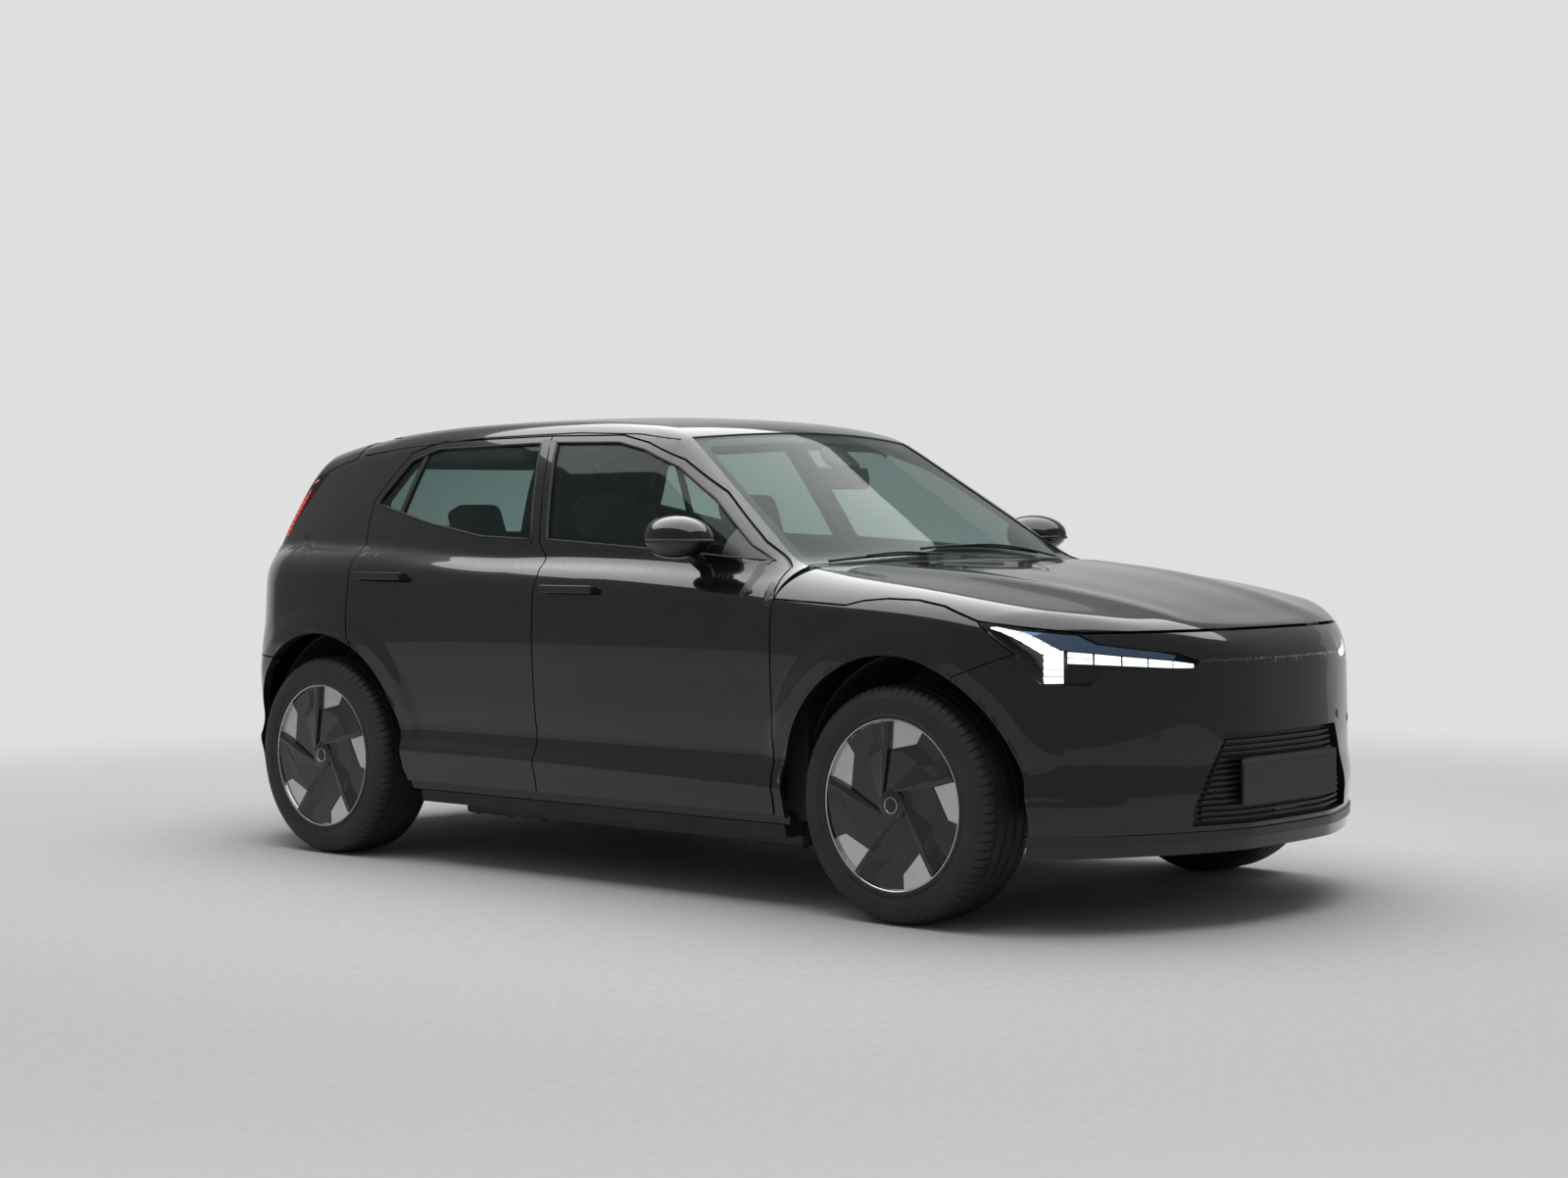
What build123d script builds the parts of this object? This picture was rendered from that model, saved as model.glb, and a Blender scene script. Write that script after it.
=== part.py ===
"""Compact electric crossover, five doors, as separate pieces on real joints.

Frame: millimetres, X forward, Y to the car's left, Z up, origin on the ground
under the middle of the car.  The skin is one surface, given by the curves below;
every outer panel is a slab of that surface between its own shut lines.
"""
from build123d import *
import math
import os

import numpy as np

# ------------------------------------------------------------------ driving sizes
FRONT_AXLE = 1311.5
REAR_AXLE = -1338.5
TYRE_RADIUS = 351.5
TYRE_WIDTH = 245.0
RIM_RADIUS = 259.0
TRACK_HALF = 785.0
DOOR_GAP = 5.5
SEAT = 0.3
OUTSIDE = 60.0
SEAM = 3.0
ARCH_RADIUS = 437.0
PANEL_WALL = 30.0
DOOR_DEPTH = 100.0
DOOR_INSET = 34.0
GLASS_WALL = 5.0
GLASS_INSET = 7.0
BONNET_WALL = 22.0
CABIN_LOW = 640.0
BUMPER_WALL = 20.0
LIP_OUT = 8.0
TAIL_WALL = 22.0
TAIL_LEAN = 1610.0


# ------------------------------------------------------------------ curves of the skin
def spline(*knots):
    """Natural cubic curve through (position, value) knots, straight beyond the ends."""
    x, y = (np.array(v, float) for v in zip(*knots))
    n, h = len(x), np.diff(x)
    a, b = np.eye(n), np.zeros(n)
    for i in range(1, n - 1):
        a[i, i - 1:i + 2] = h[i - 1], 2 * (h[i - 1] + h[i]), h[i]
        b[i] = 6 * ((y[i + 1] - y[i]) / h[i] - (y[i] - y[i - 1]) / h[i - 1])
    m = np.linalg.solve(a, b)
    first = (y[1] - y[0]) / h[0] - h[0] * m[1] / 6
    last = (y[-1] - y[-2]) / h[-1] + h[-1] * m[-2] / 6

    def at(t):
        t = np.asarray(t, float)
        s = np.clip(t, x[0], x[-1])
        i = np.clip(np.searchsorted(x, s) - 1, 0, n - 2)
        d, e, w = s - x[i], x[i + 1] - s, h[i]
        v = (m[i] * e ** 3 + m[i + 1] * d ** 3) / (6 * w)
        v += (y[i] / w - m[i] * w / 6) * e + (y[i + 1] / w - m[i + 1] * w / 6) * d
        return v + first * np.minimum(t - x[0], 0) + last * np.maximum(t - x[-1], 0)
    return at


def blend_max(a, b, k):
    """The larger of two values, rounded over where they differ by less than k."""
    h = np.maximum(k - np.abs(a - b), 0) / k
    return np.maximum(a, b) + h * h * k / 4


def bump(t, centre, width):
    return np.exp(-((t - centre) / width) ** 2)


def ramp(t, start, end):
    """Smooth step from 0 at start to 1 at end."""
    s = np.clip((t - start) / (end - start), 0, 1)
    return s * s * (3 - 2 * s)


# half width of the car along its length, at its widest height
plan = spline((-2150, 450), (-2050, 580), (-1950, 688), (-1850, 775), (-1745, 856), (-1650, 888),
              (-1500, 903), (-1338, 909), (-900, 903), (0, 899), (800, 901), (1311, 909),
              (1500, 903), (1620, 886), (1700, 862), (1800, 806), (1850, 755), (1900, 690),
              (1950, 612), (2000, 520), (2060, 380))
# how far the wall is drawn in at each height
tuck = spline((180, 44), (285, 27), (345, 17), (395, 7), (450, 21), (520, 18), (650, 6),
              (780, 0), (900, 3), (1000, 12), (1150, 50))
crease_z = spline((-2050, 1100), (-1600, 1108), (-1000, 1100), (-310, 1068), (300, 1015),
                  (850, 952), (1300, 948), (1500, 930), (1650, 900), (1850, 862), (2080, 830))
facet = spline((-2050, 0.9), (-1300, 1.15), (-300, 1.25), (850, 0.85), (1300, 0.9),
               (1700, 1.1), (2080, 1.3))
bonnet_z = spline((850, 1070), (1000, 1052), (1200, 1032), (1400, 1008), (1600, 974),
                  (1800, 930), (1950, 886), (2060, 838), (2110, 800))
nose_x = spline((180, 2085), (300, 2108), (420, 2104), (560, 2096), (680, 2090), (770, 2084),
                (850, 2060), (950, 1990))
nose_drop = spline((200, 160), (275, 165), (400, 180), (500, 202), (735, 218), (900, 225))
tail_x = spline((200, -2040), (350, -2098), (500, -2112), (620, -2104), (700, -2090),
                (900, -2092), (1000, -2082), (1080, -2050), (1150, -1950), (1300, -1850))
roof_z = spline((-2050, 1372), (-1900, 1412), (-1700, 1462), (-1400, 1512), (-1100, 1538),
                (-800, 1548), (-450, 1549), (-200, 1543), (0, 1530), (130, 1513), (240, 1479),
                (360, 1413), (600, 1271), (966, 1054), (1100, 974))
glass_y = spline((300, 500), (900, 790), (1000, 812), (1090, 800), (1250, 737), (1400, 663),
                 (1500, 606), (1560, 570))
cabin_plan = spline((-2000, -120), (-1700, -66), (-1300, -24), (-900, -6), (-400, 0),
                    (300, 0), (850, -2), (1000, -8))
hatch_x = spline((300, -1400), (800, -1900), (1000, -2014), (1090, -2008), (1200, -1958),
                 (1300, -1905), (1400, -1840), (1500, -1760))


def wall_y(x, z):
    """Half width of the lower body at a place along it and a height."""
    w = plan(x) - tuck(z) - 24 * ramp(z, 650, 850) * ramp(-x, 1600, 1760)
    w = w + 9 * (bump(x, FRONT_AXLE, 380) + bump(x, REAR_AXLE, 380)) * bump(z, 620, 260)
    shoulder = plan(x) - tuck(crease_z(x)) - facet(x) * (z - crease_z(x))
    return -blend_max(-w, -shoulder, 40)


def lower_body(x, y, z):
    """Below zero inside the lower body."""
    a = np.abs(y)
    side = a - wall_y(x, z)
    deck = np.where(x > 700, bonnet_z(np.maximum(x, 700)), 1130 - 30 * ramp(x, -1200, -400))
    top = z - deck + 34 * (a / 760) ** 2.5
    front = x - nose_x(z) + nose_drop(z) * (a / 700) ** 2.4
    rear = tail_x(z) + 90 * (a / 700) ** 2.4 - x
    f = blend_max(side, top, 120)
    f = blend_max(f, front, 60)
    return blend_max(f, rear, 50)


def upper_body(x, y, z):
    """Below zero inside the cabin's outline."""
    a = np.abs(y)
    side = a - glass_y(z) - cabin_plan(x)
    bow = 130 * (a / 741) ** 2 * np.clip((x + 300) / 500, 0, 1)
    top = z - roof_z(x + bow) + 26 * (a / 560) ** 2.2
    rear = hatch_x(z) + 150 * (a / 650) ** 2.2 - x
    return np.maximum(blend_max(blend_max(side, top, 80), rear, 40), CABIN_LOW - z)


def body(x, y, z):
    """Below zero inside the car's skin."""
    return -blend_max(-lower_body(x, y, z), -upper_body(x, y, z), 30)


def cast(origin, heading, level=body, reach=2600.0):
    """Points at which rays from inside the car leave the skin."""
    o, d = np.broadcast_arrays(np.asarray(origin, float), np.asarray(heading, float))
    near, far = np.zeros(o.shape[:-1]), np.full(o.shape[:-1], reach)
    for _ in range(40):
        middle = (near + far) / 2
        q = o + middle[..., None] * d
        inside = level(q[..., 0], q[..., 1], q[..., 2]) < 0
        near, far = np.where(inside, middle, near), np.where(inside, far, middle)
    return o + near[..., None] * d


# ------------------------------------------------------------------ slabs of the skin
def grid(*parts):
    """Stack three arrays that broadcast together into points or directions."""
    return np.stack(np.broadcast_arrays(*parts), -1).astype(float)


def section(outer, inner):
    """The skin's curve and the inner curve of one cut through a slab."""
    t = list(np.linspace(0, 1, len(outer)))
    a = Edge.make_spline([Vector(*p) for p in outer], parameters=t)
    b = Edge.make_spline([Vector(*p) for p in inner], parameters=t)
    return a, b


def loop(a, b):
    return Wire([a, Edge.make_line(a @ 1, b @ 1), b, Edge.make_line(b @ 0, a @ 0)])


def slab(origin, heading, wall, depth=0.0, level=body):
    """Slab under the skin, from depth to depth + wall along rays from inside."""
    heading = heading / np.linalg.norm(heading, axis=-1, keepdims=True)
    skin = cast(origin, heading, level)
    outer, inner = skin - depth * heading, skin - (depth + wall) * heading
    cuts = [section(a, b) for a, b in zip(outer, inner)]
    tube = Shell.make_loft([loop(a, b) for a, b in cuts])
    caps = [Face.make_surface_from_curves(*cuts[0]), Face.make_surface_from_curves(*cuts[-1])]
    return Solid(Shell(tube.faces() + caps))


SIDE_TOP = 1498.0
SIDE_STEP, SIDE_RISE = 42.0, 26.0
ROUND_STEPS, ROUND_RISE = 58, 24.0


def side_top(x):
    """Highest place on the side before it turns over into the roof or screen."""
    front = blend_max(roof_z(x + 120) - 20, bonnet_z(np.maximum(x, 850)) - 62, 20)
    return -blend_max(-SIDE_TOP - 0 * x, -front, 40)


def side_slab(x0, x1, z0, z1, wall, depth=0.0, lift=0.0):
    """Slab of the right-hand side between two places along it and two heights.

    x0 is the rear end below the waist; above the waist it leans forward with the tail.
    """
    us = np.linspace(0, 1, max(6, int((x1 - x0) / SIDE_STEP) + 1))[:, None]
    vs = np.linspace(0, 1, max(6, int((z1 - z0) / SIDE_RISE) + 1))[None]
    level = z0 + vs * (z1 - z0)
    back = x0 + np.maximum(-x0 - TAIL_LEAN, 0) * ramp(level, 1000, 1500)
    xs = back + us * (x1 - back)
    top = np.minimum(z1, side_top(xs) + lift)
    zs = z0 + vs * (top - z0)
    return slab(grid(xs, 0 * zs, zs), np.array([0, -1.0, 0]), wall, depth)


def round_slab(x, azimuths, z0, z1, wall, depth=0.0):
    """Slab of the front or rear, swept round an upright line at x."""
    az = np.radians(np.linspace(*azimuths, ROUND_STEPS))[:, None]
    zs = np.linspace(z0, z1, max(6, int((z1 - z0) / ROUND_RISE) + 1))[None]
    return slab(grid(x + 0 * az, 0 * az, zs), grid(np.cos(az), np.sin(az), 0 * zs), wall, depth)


def dome_slab(centre, azimuths, slopes, wall, depth=0.0, count=(44, 44)):
    """Slab seen from one point, over a range of azimuths and elevations."""
    az = np.radians(np.linspace(*azimuths, count[0]))[:, None]
    el = np.radians(np.linspace(*slopes, count[1]))[None]
    heading = grid(np.cos(el) * np.cos(az), np.cos(el) * np.sin(az), np.sin(el))
    return slab(np.array(centre, float), heading, wall, depth)


def deck_slab(centre, forward, across, wall, depth=0.0, count=(42, 50)):
    """Slab over one point, reached by leaning rays forward and across."""
    a = np.linspace(*forward, count[0])[:, None]
    b = np.linspace(*across, count[1])[None]
    return slab(np.array(centre, float), grid(a, b, 1.0 + 0 * a * b), wall, depth)


SIDE_BACK, SIDE_FRONT = -1860.0, 905.0
SILL_LOW = 205.0
NOSE_CENTRE, TAIL_CENTRE, GATE_CENTRE = 1250, -1300, (-1200, 0, 1000)
BUMPER_LOW = 222.0
TAIL_LOW = 230.0


def side_skin(wall, depth=0.0, lift=0.0):
    """Slab of the whole right-hand side behind the front arch."""
    return side_slab(SIDE_BACK, SIDE_FRONT, SILL_LOW, SIDE_TOP, wall, depth, lift)


def nose_skin(wall, depth=0.0):
    return round_slab(NOSE_CENTRE, (-77, 77), BUMPER_LOW, 884, wall, depth)


def tail_skin(wall, depth=0.0):
    return round_slab(TAIL_CENTRE, (180 - 77, 180 + 77), TAIL_LOW, 838, wall, depth)


def gate_skin(wall, depth=0.0):
    return dome_slab(GATE_CENTRE, (180 - 74, 180 + 74), (-34, 66), wall, depth)


# ------------------------------------------------------------------ outlines and cutters
def outline(*points, plane=Plane.XZ):
    """Closed face through the points: (x, z) from the side, (x, y) from above."""
    return make_face(Polyline(*[plane.from_local_coords((a, b, 0)) for a, b in points],
                              close=True))


def disc(x, radius):
    """Round face seen from the side, at wheel height."""
    return make_face(Edge.make_circle(radius, Plane((x, 0, TYRE_RADIUS), z_dir=(0, -1, 0))))


def grow(face, amount):
    return offset(face, amount=amount, kind=Kind.INTERSECTION)


def across(face, y0=-1100.0, y1=-300.0):
    """Prism of a side-view face from y0 to y1."""
    return extrude(face, amount=y1 - y0, dir=(0, 1, 0)).moved(Location((0, y0, 0)))


def upright(face, z0=0.0, z1=1700.0):
    """Prism of a plan-view face from z0 to z1."""
    return extrude(face, amount=z1 - z0, dir=(0, 0, 1)).moved(Location((0, 0, z0)))


def along(face, x0, x1):
    """Prism of a front-view face from x0 to x1."""
    return extrude(face, amount=x1 - x0, dir=(1, 0, 0)).moved(Location((x0, 0, 0)))


def mirrored(shape):
    return mirror(shape, about=Plane.XZ)


def block(x0, x1, y0, y1, z0, z1, radius=0.0):
    solid = Box(x1 - x0, y1 - y0, z1 - z0).moved(
        Location(((x0 + x1) / 2, (y0 + y1) / 2, (z0 + z1) / 2)))
    return fillet(solid.edges(), radius) if radius else solid


def bar(a, b, radius):
    """Round bar between two points."""
    a, b = Vector(*a), Vector(*b)
    return Solid.make_cylinder(radius, (b - a).length, Plane(a, z_dir=b - a))


def drum(x, y0, y1, radius, z=TYRE_RADIUS):
    """Cylinder across the car."""
    return Solid.make_cylinder(radius, y1 - y0, Plane((x, y0, z), z_dir=(0, 1, 0)))


def tube(x, y0, y1, outer, inner, z=TYRE_RADIUS):
    return drum(x, y0, y1, outer, z) - drum(x, y0 - 1, y1 + 1, inner, z)


pieces = {}


def keep(name, *shapes):
    """Store a node; several shapes are solids that do not touch."""
    solids = [s for shape in shapes for s in shape.solids()]
    pieces[name] = solids[0] if len(solids) == 1 else Compound(solids)


def keep_pair(name, *shapes):
    keep(name + "_right", *shapes)
    keep(name + "_left", *[mirrored(s) for s in shapes])


# ------------------------------------------------------------------ shut lines (x, z), right side
DOOR_LOW = 288.0
DOOR_FRONT = 838.0
PILLAR_X = -228.0
front_line = [(835, DOOR_LOW), (DOOR_FRONT, 560), (DOOR_FRONT, 944), (800, 1036)]
pillar_line = [(PILLAR_X, DOOR_LOW), (PILLAR_X, 1000), (-248, 1060), (-300, 1112), (-424, 1474)]
rear_line = [(-880, DOOR_LOW), (-1060, 640), (-1166, 770), (-1182, 860), (-1178, 972),
             (-1196, 1040), (-1237, 1128), (-1262, 1262)]
roof_line = [(-1148, 1430), (-1000, 1468)]
screen_line = [(-77, 1468), (60, 1440), (236, 1380), (430, 1274), (660, 1116)]
tail_line = [(-1830, 150), (-1830, 1060), (-1800, 1100), (-1640, 1352), (-1545, 1500)]
bonnet_line = [(DOOR_FRONT, 944), (1129, 930), (1189, 944), (1269, 951), (1375, 948),
               (1472, 932), (1600, 892), (1831, 859), (2130, 859)]
front_glass_line = [(735, 1058), (640, 1106), (430, 1250), (236, 1356), (60, 1416),
                    (-77, 1444), (-384, 1450), (-268, 1122), (160, 1096)]
rear_glass_line = [(-346, 1122), (-462, 1450), (-1000, 1442), (-1124, 1402), (-1236, 1250),
                   (-910, 1180), (-600, 1132)]

front_door_face = outline(*(front_line + screen_line[::-1] + pillar_line[::-1]))
rear_door_face = outline(*(pillar_line + roof_line[::-1] + rear_line[::-1]))
rear_door_face = rear_door_face - disc(REAR_AXLE, ARCH_RADIUS)


def arch(x, radius=ARCH_RADIUS, y1=-460.0):
    return drum(x, -1100, y1, radius)


# ------------------------------------------------------------------ body side
SCREEN_TOP, SCREEN_BASE = (236.0, 167.0, 545.0), (966.0, 836.0, 722.0)
ROOF_BACK = -1480.0
GATE_GAP = 7.5
GATE_SKIN = 8.0
GLASS_GAP = 0.2


def arc_across(middle_x, side_x, half):
    """Edge across the car from -half to half, bowed along it in the middle."""
    return Edge.make_three_point_arc(Vector(side_x, -half), Vector(middle_x, 0),
                                     Vector(side_x, half))


def screen_face():
    top, base = arc_across(*SCREEN_TOP), arc_across(*SCREEN_BASE)
    sides = [Edge.make_line(top @ t, base @ t) for t in (0, 1)]
    return make_face([top, base] + sides)


RING_DEPTH, RING_WALL = 30.3, 34.0
RING_OUT, RING_IN = 30.0, 20.0
DOOR_SKIN = 18.0
SILL_TOP = DOOR_LOW - DOOR_GAP / 2


def biggest(shape):
    """The main solid of a cut, without the slivers at its edges."""
    return max(shape.solids(), key=lambda s: s.volume)


def body_side():
    """Sill, roof rail and rear quarter, and the ring of pillars behind the doors."""
    wall = side_skin(PANEL_WALL)
    zone = outline(*tail_line, (DOOR_FRONT, 1560), (DOOR_FRONT, SILL_TOP - SEAM),
                   (SIDE_FRONT - 10, SILL_TOP - SEAM), (SIDE_FRONT - 10, 150))
    wall = wall & across(zone)
    for face in (front_door_face, rear_door_face):
        wall = wall - across(grow(face, DOOR_GAP / 2))
    wall = biggest(wall - arch(REAR_AXLE) - arch(FRONT_AXLE) - upright(screen_face(), 700))
    ring = side_skin(RING_WALL, RING_DEPTH)
    band = grow(outline(*(front_line + screen_line[::-1] + roof_line[::-1] + rear_line[::-1])),
                RING_OUT)
    band = band - disc(REAR_AXLE, ARCH_RADIUS) - disc(FRONT_AXLE, ARCH_RADIUS)
    for face in (front_door_face, rear_door_face):
        band = band - grow(face, -RING_IN)
    # the doors' front edges and the front door's shoulder turn in here as they open
    for edge, shoulder, top in ((DOOR_FRONT, 1020, 1112), (PILLAR_X, 1084, 1085)):
        reach = edge - 96 - (top - shoulder) * 1.3
        band = band - outline((edge - 96, SILL_TOP), (edge - 96, shoulder - 30), (reach, shoulder),
                              (reach, top), (edge + 60, top), (edge + 60, SILL_TOP))
    post = outline((PILLAR_X + 12, 262), (PILLAR_X + 12, 1004), (-236, 1060), (-262, 1086),
                   (-290, 1114), (-252, 1114), (-228, 1095), (-206, 1072), (PILLAR_X + 50, 1000),
                   (PILLAR_X + 50, 262))
    pads = [outline((x, 1440), (x + 22, 1340), (x + 38, 1340), (x + 16, 1440))
            for x in (PILLAR_X - 170, PILLAR_X - 206)]
    cushion = side_skin(RING_DEPTH - DOOR_SKIN, DOOR_SKIN + SEAT)
    ring = biggest(ring & across(band + post))
    for face in pads:
        ring = ring + (cushion & across(face))
    return wall, biggest(ring - upright(grow(screen_face(), 6), 700))


side_wall, side_ring = body_side()


# ------------------------------------------------------------------ roof frame and screen
def deck(wall, depth=0.0):
    return deck_slab((-300, 0, 300), (-1.02, 1.72), (-1.0, 1.0), wall, depth)


def roof_frame():
    """Roof skin with the two windscreen pillars."""
    shell = deck(26)
    keep_zone = upright(outline((ROOF_BACK, -800), (858, -800), (858, 800), (ROOF_BACK, 800),
                                plane=Plane.XY), 1000)
    shell = (shell & keep_zone) - upright(screen_face())
    under = side_skin(RING_DEPTH + RING_WALL + SEAT + OUTSIDE, -OUTSIDE, lift=SEAT)
    return biggest(shell - under - mirrored(under))


roof = roof_frame()
keep("roof_frame", roof)
keep("windscreen", deck(GLASS_WALL, 4) & upright(grow(screen_face(), -GLASS_GAP)))


# ------------------------------------------------------------------ doors
def hole(line):
    return outline(*line)


def door(face, glass_lines, x0, x1, rear_x):
    """Door with its frame, inner trim and cut window."""
    skin = side_slab(x0, x1, 276, SIDE_TOP, DOOR_SKIN) & across(grow(face, -DOOR_GAP / 2))
    low = outline((x0, 100), (x1, 100), (x1, 1036), (x0, 1056))
    inner = side_slab(x0, x1, 276, 1060, DOOR_DEPTH - DOOR_SKIN + 2, DOOR_SKIN - 2)
    deep = grow(face, -DOOR_INSET) & low & outline((rear_x, 100), (x1, 100), (x1, 1200),
                                                   (rear_x, 1200))
    body_part = skin + (inner & across(deep))
    glass = side_slab(x0, x1, 1000, SIDE_TOP, GLASS_WALL, GLASS_INSET)
    panes = []
    for line in glass_lines:
        body_part = body_part - across(hole(line))
        panes.append(glass & across(grow(hole(line), -GLASS_GAP)))
    return body_part, panes


front_door, front_panes = door(front_door_face, [front_glass_line], -460, 870, PILLAR_X + 60)
rear_door, rear_panes = door(rear_door_face, [rear_glass_line], -1330, -190, -1300)
divider = side_slab(-1330, -190, 1000, SIDE_TOP, 16, 2)
divider_face = outline((-1096, 1190), (-1072, 1190), (-1040, 1450), (-1062, 1450))
rear_door = rear_door + (divider & across(divider_face))
rear_panes = [p for pane in rear_panes
              for p in (pane - across(grow(divider_face, GLASS_GAP))).solids()]


def handle(x0, x1, z):
    """Grip that stands off the door on two feet."""
    y = -float(wall_y((x0 + x1) / 2, z))
    grip = block(x0, x1, y - 26, y - 12, z - 13, z + 13, 5)
    feet = [block(x, x + 22, y - 20, y + 12, z - 9, z + 9) for x in (x0 + 4, x1 - 26)]
    return grip + feet[0] + feet[1]


front_door = front_door + handle(-176, 70, 962)
rear_door = rear_door + handle(-1128, -880, 996)
keep_pair("front_door", front_door)
keep_pair("front_door_glass", *front_panes)
keep_pair("rear_door", rear_door)
keep_pair("rear_door_glass", *rear_panes)

MIRROR = (465.0, -922.0, 1131.0)
MIRROR_HALF = (130.0, 94.0, 68.0)
MIRROR_FACE = 0.4


def side_mirror():
    """Rounded housing with its flat rear face, on a foot from the door's shoulder."""
    x, y, z = MIRROR
    rings = []
    for t in (-MIRROR_FACE, -0.1, 0.2, 0.45, 0.65, 0.8, 0.9, 0.97):
        size = math.sqrt(1 - t * t)
        plane = Plane((t * MIRROR_HALF[0], 0, 0), x_dir=(0, 1, 0), z_dir=(1, 0, 0))
        rings.append(Wire.make_ellipse(size * MIRROR_HALF[1], size * MIRROR_HALF[2], plane))
    egg = Solid.make_loft(rings).moved(Location(MIRROR))
    foot = bar((x + 20, y + 32, z - 46), (x + 30, y + 112, z - 106), 22)
    return biggest(foot - front_door) + egg


keep_pair("mirror", side_mirror())


# ------------------------------------------------------------------ bonnet, fenders, front end


def bonnet():
    shell = deck_slab((1400, 0, 150), (-0.82, 1.12), (-1.5, 1.5), BONNET_WALL)
    above = outline(*bonnet_line, (2130, 1300), (DOOR_FRONT, 1300))
    above = grow(above, -DOOR_GAP / 2)
    rear = arc_across(998, 880, 745)
    back = [(DOOR_FRONT + DOOR_GAP, -1000), (DOOR_FRONT + DOOR_GAP, -880)]
    pts = [Vector(*back[0]), Vector(*back[1]), rear @ 0]
    pts2 = [rear @ 1, Vector(back[1][0], -back[1][1]), Vector(back[0][0], -back[0][1]),
            Vector(2200, 1000), Vector(2200, -1000)]
    plan_face = make_face([Edge.make_line(a, b) for a, b in zip(pts, pts[1:])] + [rear]
                          + [Edge.make_line(a, b) for a, b in zip(pts2, pts2[1:] + pts[:1])])
    return shell & across(above, -1200, 1200) & upright(plan_face, 600)


keep("bonnet", bonnet())


def cowl_panel():
    """Dark panel that closes the space between the windscreen and the bonnet."""
    front, back = arc_across(998 - DOOR_GAP, 880 - DOOR_GAP, 700), arc_across(946, 816, 690)
    ends = [Edge.make_line(front @ t, back @ t) for t in (0, 1)]
    under_glass = 4 + GLASS_WALL + SEAT
    return biggest(deck(8, under_glass) & upright(make_face([front, back] + ends), 700))


keep("cowl_panel", cowl_panel())

fender_line = [(DOOR_FRONT, 280)] + bonnet_line[:7] + [(1719, 799), (1544, 732), (1544, 280)]
fender = side_slab(800, 1760, 270, 965, 8) & across(grow(outline(*fender_line), -SEAM))
fender = fender & across(outline((DOOR_FRONT + SEAM, 280), (1800, 280), (1800, 1000),
                                 (DOOR_FRONT + SEAM, 1000)))
fender = fender - arch(FRONT_AXLE)
keep_pair("fender", fender)

PLATE_X, PLATE_Z = 2092.0, 420.0
PLATE_SCREWS, SCREW_RADIUS = 240.0, 2.5
lamp_line = [(1604, 889), (1831, 856), (1875, 828), (2001, 798), (2032, 773), (2025, 753),
             (1899, 756), (1870, 709), (1775, 715), (1719, 799)]


def front_bumper():
    shell = nose_skin(BUMPER_WALL)
    line = outline((1544, 150), (1544, 732), (1719, 799), (1719, 859 - DOOR_GAP),
                   (2200, 859 - DOOR_GAP), (2200, 150))
    shell = shell & across(line, -1200, 1200)
    lamp = across(outline(*lamp_line), -1200, -300)
    shell = shell - lamp - mirrored(lamp) - arch(FRONT_AXLE) - mirrored(arch(FRONT_AXLE))
    shell = shell - along(intake_face(), 1500, 2300)
    lip = nose_skin(BUMPER_WALL + LIP_OUT, -LIP_OUT) & block(1500, 2300, -1000, 1000, 258, 284)
    return shell + biggest(lip - arch(FRONT_AXLE) - mirrored(arch(FRONT_AXLE)) - lip_ends())


def lip_ends():
    """Space behind the splitter's ends, kept for the fenders and arches."""
    return block(1300, 1600, -1000, 1000, 200, 400)


def intake_face():
    return outline((-300, 560), (300, 560), (420, 360), (420, 300), (-420, 300), (-420, 360),
                   plane=Plane.YZ)


keep("front_bumper", front_bumper())
grille = nose_skin(16, 30) & along(grow(intake_face(), 24), 1500, 2300)
frame_ring = nose_skin(11, BUMPER_WALL + SEAT)
frame_ring = frame_ring & along(grow(intake_face(), 24) - grow(intake_face(), 2), 1500, 2300)


def plate_pad():
    """Flat pad for the number plate, with its two screw holes."""
    pad = block(PLATE_X - 52, PLATE_X, -225, 225, PLATE_Z - 70, PLATE_Z + 70)
    for side in (1, -1):
        y = side * PLATE_SCREWS / 2
        pad = pad - Solid.make_cylinder(SCREW_RADIUS, 20, Plane((PLATE_X, y, PLATE_Z), z_dir=(-1, 0, 0)))
    return pad


keep("front_grille", grille + frame_ring + plate_pad())
lamp = round_slab(1250, (-76, -6), 690, 905, 55, 1) & across(grow(outline(*lamp_line), -0.3))
keep("headlamps", lamp, mirrored(lamp))


# ------------------------------------------------------------------ rear end
def tail_face(extra=0.0):
    """Tailgate's outline from behind."""
    right = [(-600, 1540), (-612, 1400), (-632, 1300), (-668, 1150), (-688, 1096), (-612, 1060),
             (-612, 845), (-560, 650)]
    left = [(-y, z) for y, z in right[::-1]]
    face = outline(*(right + left), plane=Plane.YZ)
    return grow(face, extra) if extra else face


def behind(line):
    return outline(*line, (-2400, line[-1][1]), (-2400, line[0][1]))


def tailgate():
    seam = ROOF_BACK - GATE_GAP
    roof_seam = outline((seam, 400), (seam, 1600), (-2400, 1600), (-2400, 400))
    inner_half = 588
    middle = outline((-inner_half, 1540), (inner_half, 1540), (inner_half, 845),
                     (545, 660), (-545, 660), (-inner_half, 845), plane=Plane.YZ)
    shell = None
    for slab_part, face in ((gate_skin(GATE_SKIN), tail_face()),
                            (gate_skin(PANEL_WALL - GATE_SKIN + 1, GATE_SKIN - 1), middle)):
        layer = slab_part & along(face, -2400, -1300) & across(roof_seam, -1200, 1200)
        shell = shell + layer if shell else layer
    window = outline((-520, 1400), (520, 1400), (560, 1140), (-560, 1140), plane=Plane.YZ)
    pane = gate_skin(GLASS_WALL, GLASS_INSET)
    pane = pane & along(grow(window, -GLASS_GAP), -2400, -1500)
    return shell - along(window, -2400, -1500), pane


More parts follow.
